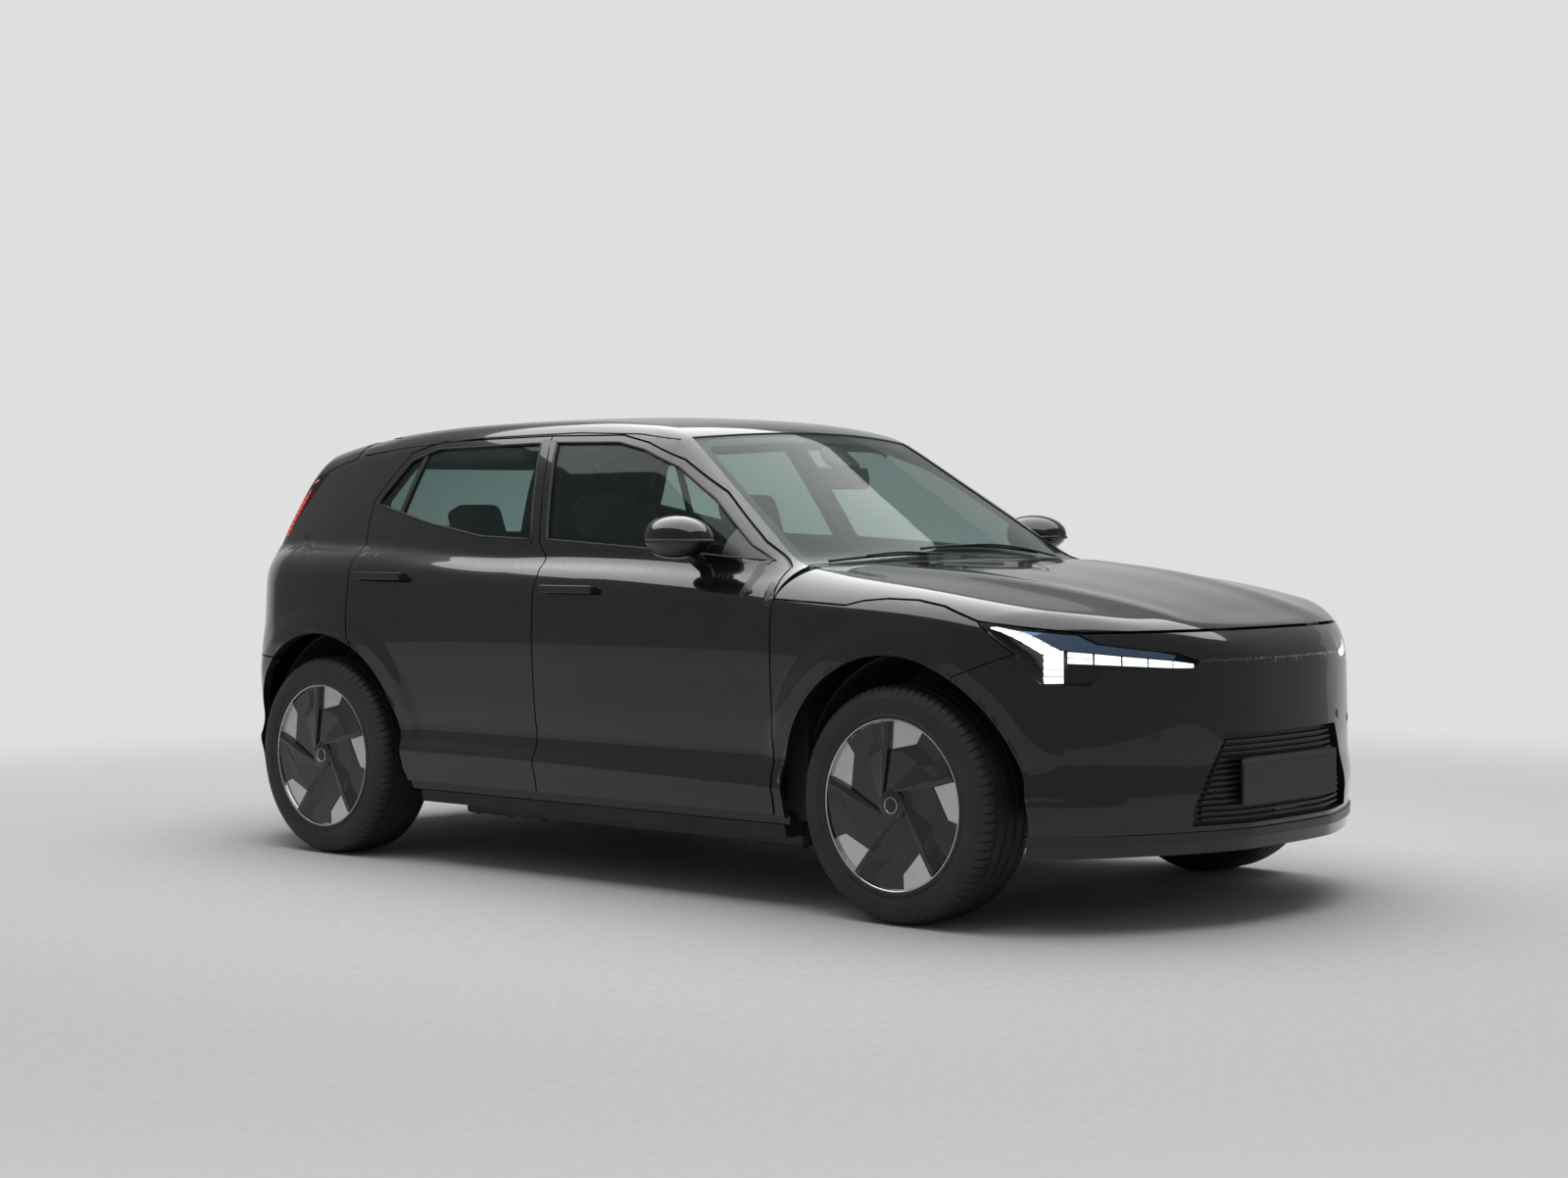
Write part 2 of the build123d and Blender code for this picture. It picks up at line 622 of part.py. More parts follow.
gate, gate_glass = tailgate()
keep("tailgate", gate)
keep("tailgate_glass", gate_glass)
gate_gap = along(tail_face(DOOR_GAP), -2400, -1300)


def rear_frame():
    """Flange of the body that the closed tailgate rests on."""
    flange = gate_skin(16, PANEL_WALL + SEAT)
    band = tail_face(16) - tail_face(-60)
    flange = biggest(flange & along(band, -2400, -1300)
                     & across(outline((ROOF_BACK + 14, 400), (ROOF_BACK + 14, 1600), (-2400, 1600),
                                      (-2400, 400)), -1200, 1200))
    foot = block(-2110, -2000, -300, 300, 520.3, 642)
    foot = foot - tail_skin(TAIL_WALL + SEAT + OUTSIDE, -OUTSIDE)
    side = side_skin(PANEL_WALL + SEAT + OUTSIDE, -OUTSIDE)
    return biggest(flange - side - mirrored(side)) + foot


def rear_bumper():
    shell = tail_skin(TAIL_WALL)
    line = outline((-1600, 150), (-1600, 690), (-1833, 700), (-1833, 836), (-2300, 836),
                   (-2300, 150))
    shell = shell & across(line, -1200, 1200)
    return shell - gate_gap - arch(REAR_AXLE) - mirrored(arch(REAR_AXLE))


keep("rear_bumper", rear_bumper())
lamp_skin = gate_skin(PANEL_WALL - 0.5, 0.5)
low_lamp = lamp_skin & across(outline((-1830.3, 836.3), (-1830.3, 1060), (-1801.5, 1098.7),
                                     (-2300, 1098.7), (-2300, 836.3))) - gate_gap
high = lamp_skin & across(behind([(-1798, 1104), (-1640.3, 1352.2), (-1545.3, 1500.2)])) - gate_gap
low_lamp, high = biggest(low_lamp), biggest(high)
keep("tail_lamps", low_lamp, mirrored(low_lamp), high, mirrored(high))

# the quarter gives way to the bumper behind the arch
cut_low = across(outline((-1500, 100), (-1500, 690 + SEAM), (-1833, 700 + SEAM), (-2000, 700),
                         (-2000, 100)))
side_wall = biggest(side_wall - cut_low - gate_gap)
keep_pair("body_side", side_wall, side_ring)
keep("rear_frame", rear_frame())


# ------------------------------------------------------------------ floor, battery, structure
PAN_HALF = 800.0
HOUSE_OUT = 780.0
FLOOR_TOP = 292.0
BATTERY_LOW = 168.0


def floor_pan():
    """Cabin floor, sills' inner beams, heel board, boot floor and wheel houses."""
    pan = block(-900, 905, -PAN_HALF, PAN_HALF, FLOOR_TOP - 24, FLOOR_TOP)
    sill = block(-860, 840, -870, -738, 215, 255) + block(-860, 840, -790, -738, 215, 280)
    sill = sill - side_skin(PANEL_WALL + SEAT + OUTSIDE, -OUTSIDE)
    beams = [sill, mirrored(sill)]
    heel = block(-900, -860, -640, 640, FLOOR_TOP - 24, 520)
    boot = block(-1800, -860, -640, 640, 500, 520) + block(-2030, -1790, -450, 450, 500, 520)
    wall = block(880, 905, -740, 740, FLOOR_TOP - 24, 930)
    cowl = block(880, 960, -700, 700, 905, 925)
    pillars = [block(DOOR_FRONT - 22, 905, *sorted((s * 805, s * 716)), FLOOR_TOP - 24, 936)
               for s in (1, -1)]
    houses = []
    for s in (1, -1):
        for x, deep in ((FRONT_AXLE, 455), (REAR_AXLE, 560)):
            y0, y1 = sorted((s * deep, s * HOUSE_OUT))
            shell = tube(x, y0, y1, ARCH_RADIUS + 9, ARCH_RADIUS + 1)
            web = drum(x, *sorted((s * deep, s * (deep + 8))), ARCH_RADIUS + 5)
            house = (shell + web) & block(x - 500, x + 500, -900, 900, 300, 900)
            houses.append(house)
    solid = pan + heel + boot + wall
    for part in beams + houses + pillars + [cowl]:
        solid = solid + part
    for side in (1, -1):
        rail = block(1600, 1940, *sorted((side * 410, side * 474)), 380, 460)
        shelf = block(FRONT_AXLE - 190, FRONT_AXLE + 190, *sorted((side * 300, side * 474)),
                      425.3, 450)
        wing = block(FRONT_AXLE - 20, FRONT_AXLE + 20, *sorted((side * 700, side * 885)), 792, 850)
        solid = solid + rail + shelf
        fender_rail = side_slab(1180, 1440, 800, 880, 30, 8.3)
        stop = bar((FRONT_AXLE, -640, 785), (FRONT_AXLE, -640, 1080), 14)
        above = deck_slab((1400, 0, 150), (-0.82, 1.12), (-1.5, 1.5), 170, BONNET_WALL + 0.3 - 170)
        stop = stop - above
        if side > 0:
            fender_rail, stop = mirrored(fender_rail), mirrored(stop)
        bracket = block(1880, 1930, *sorted((side * 110, side * 210)), 380, 690)
        pad = nose_skin(170, BUMPER_WALL + SEAT)
        pad = pad & block(1700, 2200, *sorted((side * 120, side * 200)), 620, 680)
        solid = solid + wing + fender_rail + stop + bracket + pad
    solid = solid + block(1880, 1930, -480, 480, 380, 460)
    return solid


keep("floor_pan", floor_pan())
keep("battery_pack", block(-800, 780, -690, 690, BATTERY_LOW, FLOOR_TOP - 24.2, 12))


# ------------------------------------------------------------------ cabin
def seat(x, y):
    """Front seat: cushion, leaning back and head restraint."""
    base = block(x - 240, x + 270, y - 240, y + 240, FLOOR_TOP + 150, FLOOR_TOP + 290, 40)
    foot = block(x - 180, x + 200, y - 200, y + 200, FLOOR_TOP + 0.3, FLOOR_TOP + 170)
    back = block(-55, 55, -235, 235, 0, 640, 36).rotate(Axis.Y, -20)
    back = back.moved(Location((x - 220, y, FLOOR_TOP + 200)))
    head = block(-40, 40, -130, 130, 655, 830, 30).rotate(Axis.Y, -20)
    head = head.moved(Location((x - 220, y, FLOOR_TOP + 200)))
    posts = [bar((-5, s * 55, 600), (-5, s * 55, 700), 8).rotate(Axis.Y, -20)
             .moved(Location((x - 220, y, FLOOR_TOP + 200))) for s in (1, -1)]
    return base + foot + back + head + posts[0] + posts[1]


SEAT_X, SEAT_Y = 60.0, 365.0
keep("front_seats", seat(SEAT_X, -SEAT_Y), seat(SEAT_X, SEAT_Y))
rear_base = block(-850, -420, -620, 620, FLOOR_TOP + 0.3, FLOOR_TOP + 270, 30)
rear_back = block(-60, 50, -610, 610, 0, 640, 30).rotate(Axis.Y, -22)
rear_back = rear_back.moved(Location((-800, 0, FLOOR_TOP + 245)))
heads = [block(-40, 40, y - 110, y + 110, 630, 770, 28).rotate(Axis.Y, -22)
         .moved(Location((-800, 0, FLOOR_TOP + 225))) for y in (-400, 0, 400)]
rear_seat = rear_base + rear_back
for h in heads:
    rear_seat = rear_seat + h
keep("rear_seat", rear_seat)

dash = make_face(Polyline(*[(x, 0, z) for x, z in ((880, 700), (880, 985), (800, 1010),
                                                   (560, 985), (500, 940), (520, 880),
                                                   (640, 820), (700, 700))], close=True))
dash = across(dash, -715, 715)
dash = fillet(dash.edges().filter_by(Axis.Y).sort_by(Axis.X)[0:2], 14)
console = block(-250, 760, -105, 105, FLOOR_TOP + 0.3, FLOOR_TOP + 240, 20)
WHEEL_CENTRE = (430.0, SEAT_Y, 900.0)
COLUMN_LEAN = 22.0


def at_wheel(shape):
    return shape.rotate(Axis.Y, COLUMN_LEAN).moved(Location(WHEEL_CENTRE))


well = at_wheel(bar((30, 0, 0), (130.3, 0, 0), 27))
keep("dashboard", (dash - well) + console + block(640, 760, -100, 100, 480, 760))
rim_line = (Plane.YZ * RectangleRounded(368, 340, 130)).wire()
ring = sweep(Plane(rim_line @ 0, z_dir=rim_line % 0) * Circle(14), path=rim_line)
spokes = block(-12, 8, -178, 178, -18, 18) + block(-30, 12, -60, 60, -45, 45, 8)
column = bar((0, 0, 0), (130, 0, 0), 26)
keep("steering_wheel", at_wheel(ring + spokes + column))


# ------------------------------------------------------------------ running gear

def tyre():
    """Tyre about the Y axis through the origin, its outer side to -Y."""
    w, r = TYRE_WIDTH / 2, TYRE_RADIUS
    profile = [(-w + 18, 247), (-w + 2, 262), (-w, 290), (-w + 10, 325), (-w + 26, 344),
               (-w + 50, r), (w - 50, r), (w - 26, 344), (w - 10, 325), (w, 290), (w - 2, 262),
               (w - 18, 247)]
    face = make_face(Polyline(*[(0, y, z) for y, z in profile], close=True))
    return revolve(face, Axis.Y)


FACE_RADIUS = 236.0
# a pocket's corners: share of the face radius, and degrees from the top towards the front
POCKET = [(0.97, -1.5), (0.975, 13), (0.97, 27.3), (0.81, 26.2), (0.645, -4)]
POCKET_DEPTH = 9.0


def rim():
    """Rim about the Y axis, its face to -Y: barrel, closed face and five pockets."""
    w = TYRE_WIDTH / 2
    profile = [(-w + 8, 246.8), (-w + 5, RIM_RADIUS), (-w + 1, RIM_RADIUS), (-w + 2, 244),
               (-w + 9, FACE_RADIUS), (-w + 7, 60), (-w + 2, 40), (-w + 2, 0), (-w + 60, 0),
               (-w + 60, 75), (-w + 36, 90), (-w + 34, 228), (w - 20, 228), (w - 8, 240),
               (w - 8, 246.8)]
    solid = revolve(make_face(Polyline(*[(0, y, z) for y, z in profile], close=True)), Axis.Y)
    polar = [(FACE_RADIUS * r, math.radians(a)) for r, a in POCKET]
    corners = [(r * math.sin(a), -200, r * math.cos(a)) for r, a in polar]
    pocket = extrude(make_face(Polyline(*corners, close=True)),
                     amount=200 - w + 7 + POCKET_DEPTH, dir=(0, 1, 0))
    for k in range(5):
        solid = solid - pocket.rotate(Axis.Y, 72 * k)
    return solid + tube(0, -w + 55, -w + 70, 165, 60, 0)


base_tyre, base_rim = tyre(), rim()
for name, x in (("front", FRONT_AXLE), ("rear", REAR_AXLE)):
    place = Location((x, -TRACK_HALF, TYRE_RADIUS))
    keep_pair("tyre_" + name, base_tyre.moved(place))
    keep_pair("rim_" + name, base_rim.moved(place))


STUB_Y = TRACK_HALF + TYRE_WIDTH / 2 - 60.3
KINGPIN_Y = 700.0
ARM_TOP = 221.0


def carrier(x):
    """Wheel carrier with its stub; its foot turns on the lower arm."""
    stub = drum(x, -STUB_Y, -KINGPIN_Y, 34)
    neck = Solid.make_cylinder(18, 20, Plane((x, -KINGPIN_Y, ARM_TOP + 0.3)))
    post = neck + block(x - 40, x + 40, -KINGPIN_Y - 20, -KINGPIN_Y + 20, ARM_TOP + 12, 500)
    arm = block(x - 150, x - 30, -KINGPIN_Y - 14, -KINGPIN_Y + 16, 300, 330)
    return stub + post + arm


knuckle = carrier(FRONT_AXLE)
keep_pair("knuckle_front", knuckle)


def subframe(x, strut_top, strut_y, box_top):
    """Cradle, lower arms and struts of one axle."""
    frame = block(x - 190, x + 190, -360, 360, 188, 236)
    for s in (1, -1):
        for dx in (-150, 150):
            frame = frame + bar((x + dx, s * 340, 206), (x + dx * 0.1, s * KINGPIN_Y, 206), 13)
        foot = Solid.make_cylinder(22, ARM_TOP - 190, Plane((x, s * KINGPIN_Y, 190)))
        frame = frame + foot + bar((x + 60, s * strut_y, 206), (x + 60, s * strut_y, strut_top), 22)
        frame = frame + block(x + 10, x + 90, s * strut_y - 20, s * strut_y + 20, 195, 225)
        frame = frame + block(x - 190, x + 190, *sorted((s * 305, s * 355)), 230, box_top)
    return frame


keep("front_subframe", subframe(FRONT_AXLE, 778, 535, 425))
rear_frame_gear = subframe(REAR_AXLE, 499.7, 535, 499.7)
for s in (carrier(REAR_AXLE), mirrored(carrier(REAR_AXLE))):
    rear_frame_gear = rear_frame_gear + s.moved(Location((0, 0, -1)))
keep("rear_subframe", rear_frame_gear)
keep("drive_unit", block(REAR_AXLE - 150, REAR_AXLE + 170, -290, 290, 236.3, 460, 30))

os.makedirs("parts", exist_ok=True)
for name, shape in pieces.items():
    export_step(shape, os.path.join("parts", name + ".step"))
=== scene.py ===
"""Looks of the compact electric crossover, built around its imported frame.

Lengths are metres; X forward, Y to the car's left, Z up.  The skin's curves are
those of the model's source, in millimetres, so that new panels lie on it exactly.
"""
import math

import bmesh
import bpy
import numpy as np
from mathutils import Matrix, Vector


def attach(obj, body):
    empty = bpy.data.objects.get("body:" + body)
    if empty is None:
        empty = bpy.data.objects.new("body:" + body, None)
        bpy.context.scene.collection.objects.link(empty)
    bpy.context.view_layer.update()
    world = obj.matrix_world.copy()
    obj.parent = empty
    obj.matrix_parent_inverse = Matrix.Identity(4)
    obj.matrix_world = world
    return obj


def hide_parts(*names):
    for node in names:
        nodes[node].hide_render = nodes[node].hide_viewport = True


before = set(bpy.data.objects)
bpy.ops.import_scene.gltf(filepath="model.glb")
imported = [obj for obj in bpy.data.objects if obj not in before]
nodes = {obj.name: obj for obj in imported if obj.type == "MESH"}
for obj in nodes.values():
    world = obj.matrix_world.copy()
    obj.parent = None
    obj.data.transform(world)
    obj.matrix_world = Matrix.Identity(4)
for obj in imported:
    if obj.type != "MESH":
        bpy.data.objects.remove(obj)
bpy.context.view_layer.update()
MM = 0.001
SIDES = (("right", -1), ("left", 1))
FRONT_AXLE, REAR_AXLE = 1311.5, -1338.5
TYRE_RADIUS, TYRE_WIDTH, TRACK_HALF = 351.5, 245.0, 785.0
ARCH_RADIUS = 437.0
CABIN_LOW = 640.0


# ------------------------------------------------------------------ curves of the skin
def spline(*knots):
    """Natural cubic curve through (position, value) knots, straight beyond the ends."""
    x, y = (np.array(v, float) for v in zip(*knots))
    n, h = len(x), np.diff(x)
    a, b = np.eye(n), np.zeros(n)
    for i in range(1, n - 1):
        a[i, i - 1:i + 2] = h[i - 1], 2 * (h[i - 1] + h[i]), h[i]
        b[i] = 6 * ((y[i + 1] - y[i]) / h[i] - (y[i] - y[i - 1]) / h[i - 1])
    m = np.linalg.solve(a, b)
    first = (y[1] - y[0]) / h[0] - h[0] * m[1] / 6
    last = (y[-1] - y[-2]) / h[-1] + h[-1] * m[-2] / 6

    def at(t):
        t = np.asarray(t, float)
        s = np.clip(t, x[0], x[-1])
        i = np.clip(np.searchsorted(x, s) - 1, 0, n - 2)
        d, e, w = s - x[i], x[i + 1] - s, h[i]
        v = (m[i] * e ** 3 + m[i + 1] * d ** 3) / (6 * w)
        v += (y[i] / w - m[i] * w / 6) * e + (y[i + 1] / w - m[i + 1] * w / 6) * d
        return v + first * np.minimum(t - x[0], 0) + last * np.maximum(t - x[-1], 0)
    return at


def blend_max(a, b, k):
    """The larger of two values, rounded over where they differ by less than k."""
    h = np.maximum(k - np.abs(a - b), 0) / k
    return np.maximum(a, b) + h * h * k / 4


def bump(t, centre, width):
    return np.exp(-((t - centre) / width) ** 2)


def ramp(t, start, end):
    """Smooth step from 0 at start to 1 at end."""
    s = np.clip((t - start) / (end - start), 0, 1)
    return s * s * (3 - 2 * s)


# half width of the car along its length, at its widest height
plan = spline((-2150, 450), (-2050, 580), (-1950, 688), (-1850, 775), (-1745, 856), (-1650, 888),
              (-1500, 903), (-1338, 909), (-900, 903), (0, 899), (800, 901), (1311, 909),
              (1500, 903), (1620, 886), (1700, 862), (1800, 806), (1850, 755), (1900, 690),
              (1950, 612), (2000, 520), (2060, 380))
# how far the wall is drawn in at each height
tuck = spline((180, 44), (285, 27), (345, 17), (395, 7), (450, 21), (520, 18), (650, 6),
              (780, 0), (900, 3), (1000, 12), (1150, 50))
crease_z = spline((-2050, 1100), (-1600, 1108), (-1000, 1100), (-310, 1068), (300, 1015),
                  (850, 952), (1300, 948), (1500, 930), (1650, 900), (1850, 862), (2080, 830))
facet = spline((-2050, 0.9), (-1300, 1.15), (-300, 1.25), (850, 0.85), (1300, 0.9),
               (1700, 1.1), (2080, 1.3))
bonnet_z = spline((850, 1070), (1000, 1052), (1200, 1032), (1400, 1008), (1600, 974),
                  (1800, 930), (1950, 886), (2060, 838), (2110, 800))
nose_x = spline((180, 2085), (300, 2108), (420, 2104), (560, 2096), (680, 2090), (770, 2084),
                (850, 2060), (950, 1990))
nose_drop = spline((200, 160), (275, 165), (400, 180), (500, 202), (735, 218), (900, 225))
tail_x = spline((200, -2040), (350, -2098), (500, -2112), (620, -2104), (700, -2090),
                (900, -2092), (1000, -2082), (1080, -2050), (1150, -1950), (1300, -1850))
roof_z = spline((-2050, 1372), (-1900, 1412), (-1700, 1462), (-1400, 1512), (-1100, 1538),
                (-800, 1548), (-450, 1549), (-200, 1543), (0, 1530), (130, 1513), (240, 1479),
                (360, 1413), (600, 1271), (966, 1054), (1100, 974))
glass_y = spline((300, 500), (900, 790), (1000, 812), (1090, 800), (1250, 737), (1400, 663),
                 (1500, 606), (1560, 570))
cabin_plan = spline((-2000, -120), (-1700, -66), (-1300, -24), (-900, -6), (-400, 0),
                    (300, 0), (850, -2), (1000, -8))
hatch_x = spline((300, -1400), (800, -1900), (1000, -2014), (1090, -2008), (1200, -1958),
                 (1300, -1905), (1400, -1840), (1500, -1760))


def wall_y(x, z):
    """Half width of the lower body at a place along it and a height."""
    w = plan(x) - tuck(z) - 24 * ramp(z, 650, 850) * ramp(-x, 1600, 1760)
    w = w + 9 * (bump(x, FRONT_AXLE, 380) + bump(x, REAR_AXLE, 380)) * bump(z, 620, 260)
    shoulder = plan(x) - tuck(crease_z(x)) - facet(x) * (z - crease_z(x))
    return -blend_max(-w, -shoulder, 40)


def lower_body(x, y, z):
    """Below zero inside the lower body."""
    a = np.abs(y)
    side = a - wall_y(x, z)
    deck = np.where(x > 700, bonnet_z(np.maximum(x, 700)), 1130 - 30 * ramp(x, -1200, -400))
    top = z - deck + 34 * (a / 760) ** 2.5
    front = x - nose_x(z) + nose_drop(z) * (a / 700) ** 2.4
    rear = tail_x(z) + 90 * (a / 700) ** 2.4 - x
    f = blend_max(side, top, 120)
    f = blend_max(f, front, 60)
    return blend_max(f, rear, 50)


def upper_body(x, y, z):
    """Below zero inside the cabin's outline."""
    a = np.abs(y)
    side = a - glass_y(z) - cabin_plan(x)
    bow = 130 * (a / 741) ** 2 * np.clip((x + 300) / 500, 0, 1)
    top = z - roof_z(x + bow) + 26 * (a / 560) ** 2.2
    rear = hatch_x(z) + 150 * (a / 650) ** 2.2 - x
    return np.maximum(blend_max(blend_max(side, top, 80), rear, 40), CABIN_LOW - z)


def body(x, y, z):
    """Below zero inside the car's skin."""
    return -blend_max(-lower_body(x, y, z), -upper_body(x, y, z), 30)


def cast(origin, heading, level=body, reach=2600.0):
    """Points at which rays from inside the car leave the skin."""
    o, d = np.broadcast_arrays(np.asarray(origin, float), np.asarray(heading, float))
    near, far = np.zeros(o.shape[:-1]), np.full(o.shape[:-1], reach)
    for _ in range(40):
        middle = (near + far) / 2
        q = o + middle[..., None] * d
        inside = level(q[..., 0], q[..., 1], q[..., 2]) < 0
        near, far = np.where(inside, middle, near), np.where(inside, far, middle)
    return o + near[..., None] * d


def gradient(p, level=body, step=0.4):
    """Outward unit normals of the skin at points (n, 3)."""
    g = np.empty_like(p)
    for k in range(3):
        e = np.zeros(3)
        e[k] = step
        g[:, k] = level(*(p + e).T) - level(*(p - e).T)
    return g / np.linalg.norm(g, axis=1, keepdims=True)


# ------------------------------------------------------------------ materials
def new_material(name):
    m = bpy.data.materials.new(name)
    m.use_nodes = True
    m.node_tree.nodes.clear()
    out = m.node_tree.nodes.new("ShaderNodeOutputMaterial")
    shader = m.node_tree.nodes.new("ShaderNodeBsdfPrincipled")
    m.node_tree.links.new(shader.outputs[0], out.inputs[0])
    return m, m.node_tree, shader


def add(tree, kind, **values):
    """New shader node; values set its sockets by name, or its properties."""
    node = tree.nodes.new("ShaderNode" + kind)
    for key, value in values.items():
        name = key.replace("_", " ")
        match = [s for s in node.inputs if s.name.lower() == name.lower()]
        if match:
            match[0].default_value = value
        else:
            setattr(node, key, value)
    return node


def noise_at(tree, scale, detail=3.0, rough=0.5):
    place = add(tree, "TexCoord")
    n = add(tree, "TexNoise", scale=scale, detail=detail, roughness=rough)
    tree.links.new(place.outputs["Object"], n.inputs["Vector"])
    return n


def spread(tree, source, low, high):
    """Range of a 0..1 value from low to high."""
    r = add(tree, "MapRange")
    r.inputs["To Min"].default_value, r.inputs["To Max"].default_value = low, high
    tree.links.new(source, r.inputs["Value"])
    return r.outputs[0]


def mixed(tree, source, dark, light, low=0.35, high=0.65):
    """Colour between two, by a 0..1 value."""
    c = add(tree, "ValToRGB")
    c.color_ramp.elements[0].position, c.color_ramp.elements[1].position = low, high
    c.color_ramp.elements[0].color = (*dark, 1)
    c.color_ramp.elements[1].color = (*light, 1)
    tree.links.new(source, c.inputs[0])
    return c.outputs[0]


def relief(tree, shader, height, strength, distance):
    b = add(tree, "Bump", strength=strength, distance=distance)
    tree.links.new(height, b.inputs["Height"])
    tree.links.new(b.outputs[0], shader.inputs["Normal"])


def paint(name, colour, rough, fine=0.012):
    """Lacquered finish: solid colour under a smooth clear coat with faint dust."""
    m, t, s = new_material(name)
    n = noise_at(t, 9, 4)
    lighter = tuple(c * 1.25 + 0.0006 for c in colour)
    t.links.new(mixed(t, n.outputs[0], colour, lighter), s.inputs["Base Color"])
    t.links.new(spread(t, n.outputs[0], rough - fine, rough + fine), s.inputs["Roughness"])
    s.inputs["Coat Weight"].default_value = 1.0
    s.inputs["Coat Roughness"].default_value = 0.012
    s.inputs["Specular IOR Level"].default_value = 0.12
    return m


def grained(name, colour, rough, scale, depth=0.0004, metal=0.0):
    """Moulded or cast surface with a fine pebble grain."""
    m, t, s = new_material(name)
    n = noise_at(t, scale, 5, 0.6)
    wide = noise_at(t, 7, 3)
    lighter = tuple(c * 1.35 + 0.002 for c in colour)
    t.links.new(mixed(t, wide.outputs[0], colour, lighter), s.inputs["Base Color"])
    t.links.new(spread(t, n.outputs[0], rough - 0.08, rough + 0.1), s.inputs["Roughness"])
    relief(t, s, n.outputs[0], 0.5, depth)
    s.inputs["Metallic"].default_value = metal
    return m


def metal(name, colour, rough, scale=60.0):
    m, t, s = new_material(name)
    n = noise_at(t, scale, 6, 0.7)
    darker = tuple(c * 0.86 for c in colour)
    t.links.new(mixed(t, n.outputs[0], darker, colour), s.inputs["Base Color"])
    t.links.new(spread(t, n.outputs[0], rough - 0.05, rough + 0.06), s.inputs["Roughness"])
    s.inputs["Metallic"].default_value = 1.0
    return m


def glazing(name, tint, clear):
    """Thin tinted pane: mostly see-through, with a full surface reflection."""
    m, t, s = new_material(name)
    out = [n for n in t.nodes if n.type == "OUTPUT_MATERIAL"][0]
    s.inputs["Base Color"].default_value = (0.02, 0.03, 0.03, 1)
    s.inputs["Roughness"].default_value = 0.02
    s.inputs["Coat Weight"].default_value = 0.3
    through = add(t, "BsdfTransparent")
    through.inputs[0].default_value = (*tint, 1)
    n = noise_at(t, 5)
    share = add(t, "MixShader")
    edge = add(t, "LayerWeight", blend=0.28)
    part = add(t, "MapRange")
    part.inputs["To Min"].default_value, part.inputs["To Max"].default_value = clear, 0.25
    t.links.new(edge.outputs["Facing"], part.inputs["Value"])
    t.links.new(spread(t, n.outputs[0], 0.008, 0.03), s.inputs["Roughness"])
    t.links.new(part.outputs[0], share.inputs[0])
    t.links.new(s.outputs[0], share.inputs[1])
    t.links.new(through.outputs[0], share.inputs[2])
    t.links.new(share.outputs[0], out.inputs[0])
    return m


def glow(name, colour, strength):
    m, t, s = new_material(name)
    n = noise_at(t, 40, 2)
    t.links.new(mixed(t, n.outputs[0], tuple(c * 0.94 for c in colour), colour),
                s.inputs["Emission Color"])
    s.inputs["Base Color"].default_value = (0.6, 0.6, 0.62, 1)
    s.inputs["Emission Strength"].default_value = strength
    s.inputs["Roughness"].default_value = 0.25
    return m


def woven(name, colour, thread=0.0016):
    """Knitted cloth: crossing threads with a slight colour mix and sheen."""
    m, t, s = new_material(name)
    place = add(t, "TexCoord")
    waves = []
    for turn in (0.0, math.pi / 2):
        spin = add(t, "Mapping")
        spin.inputs["Rotation"].default_value = (turn, 0, turn)
        wave = add(t, "TexWave", scale=0.314 / thread / 2, distortion=1.2)
        wave.inputs["Detail"].default_value = 1.0
        t.links.new(place.outputs["Object"], spin.inputs["Vector"])
        t.links.new(spin.outputs[0], wave.inputs["Vector"])
        waves.append(wave)
    both = add(t, "Math", operation="MULTIPLY")
    t.links.new(waves[0].outputs["Fac"], both.inputs[0])
    t.links.new(waves[1].outputs["Fac"], both.inputs[1])
    mottled = noise_at(t, 220, 2)
    lighter = tuple(c * 1.6 + 0.01 for c in colour)
    t.links.new(mixed(t, mottled.outputs[0], colour, lighter), s.inputs["Base Color"])
    relief(t, s, both.outputs[0], 0.6, 0.0006)
    s.inputs["Roughness"].default_value = 0.9
    s.inputs["Sheen Weight"].default_value = 0.3
    return m


PAINT = paint("black_paint", (0.006, 0.006, 0.007), 0.16)
GLOSS = paint("piano_black", (0.005, 0.005, 0.006), 0.08)
TRIM = grained("dark_trim", (0.018, 0.018, 0.019), 0.48, 900)
SATIN = grained("satin_black", (0.012, 0.012, 0.013), 0.3, 600, 0.0001)
SOFT = grained("cabin_plastic", (0.035, 0.038, 0.040), 0.62, 700)
LINING = grained("headlining", (0.16, 0.17, 0.17), 0.9, 500)
UNDER = grained("underbody", (0.02, 0.02, 0.021), 0.7, 160, 0.0008)
RUBBER = grained("seal_rubber", (0.010, 0.010, 0.010), 0.6, 500)
TYRE = grained("tyre_rubber", (0.016, 0.016, 0.0165), 0.62, 420, 0.0003)
WHEEL_DARK = paint("wheel_lacquer", (0.010, 0.010, 0.011), 0.3, 0.03)
WHEEL_CUT = metal("machined_alloy", (0.62, 0.62, 0.63), 0.22)
ALLOY = metal("cast_alloy", (0.42, 0.42, 0.43), 0.42, 120)
STEEL = metal("brushed_steel", (0.5, 0.5, 0.5), 0.32, 200)
DISC_IRON = metal("disc_iron", (0.3, 0.3, 0.3), 0.4, 300)
GLASS = glazing("green_glass", (0.86, 0.94, 0.92), 0.94)
REAR_GLASS = glazing("rear_glass", (0.74, 0.83, 0.81), 0.92)
LENS = glazing("lamp_lens", (0.93, 0.96, 1.0), 0.94)
RED_LENS = glazing("tail_lens", (0.90, 0.22, 0.24), 0.92)
DAYLIGHT = glow("running_light", (1.0, 0.99, 0.97), 1.5)
REDLIGHT = glow("tail_light", (1.0, 0.16, 0.15), 2.0)
COLD_SHEET = metal("blue_reflector", (0.20, 0.30, 0.42), 0.18, 14)
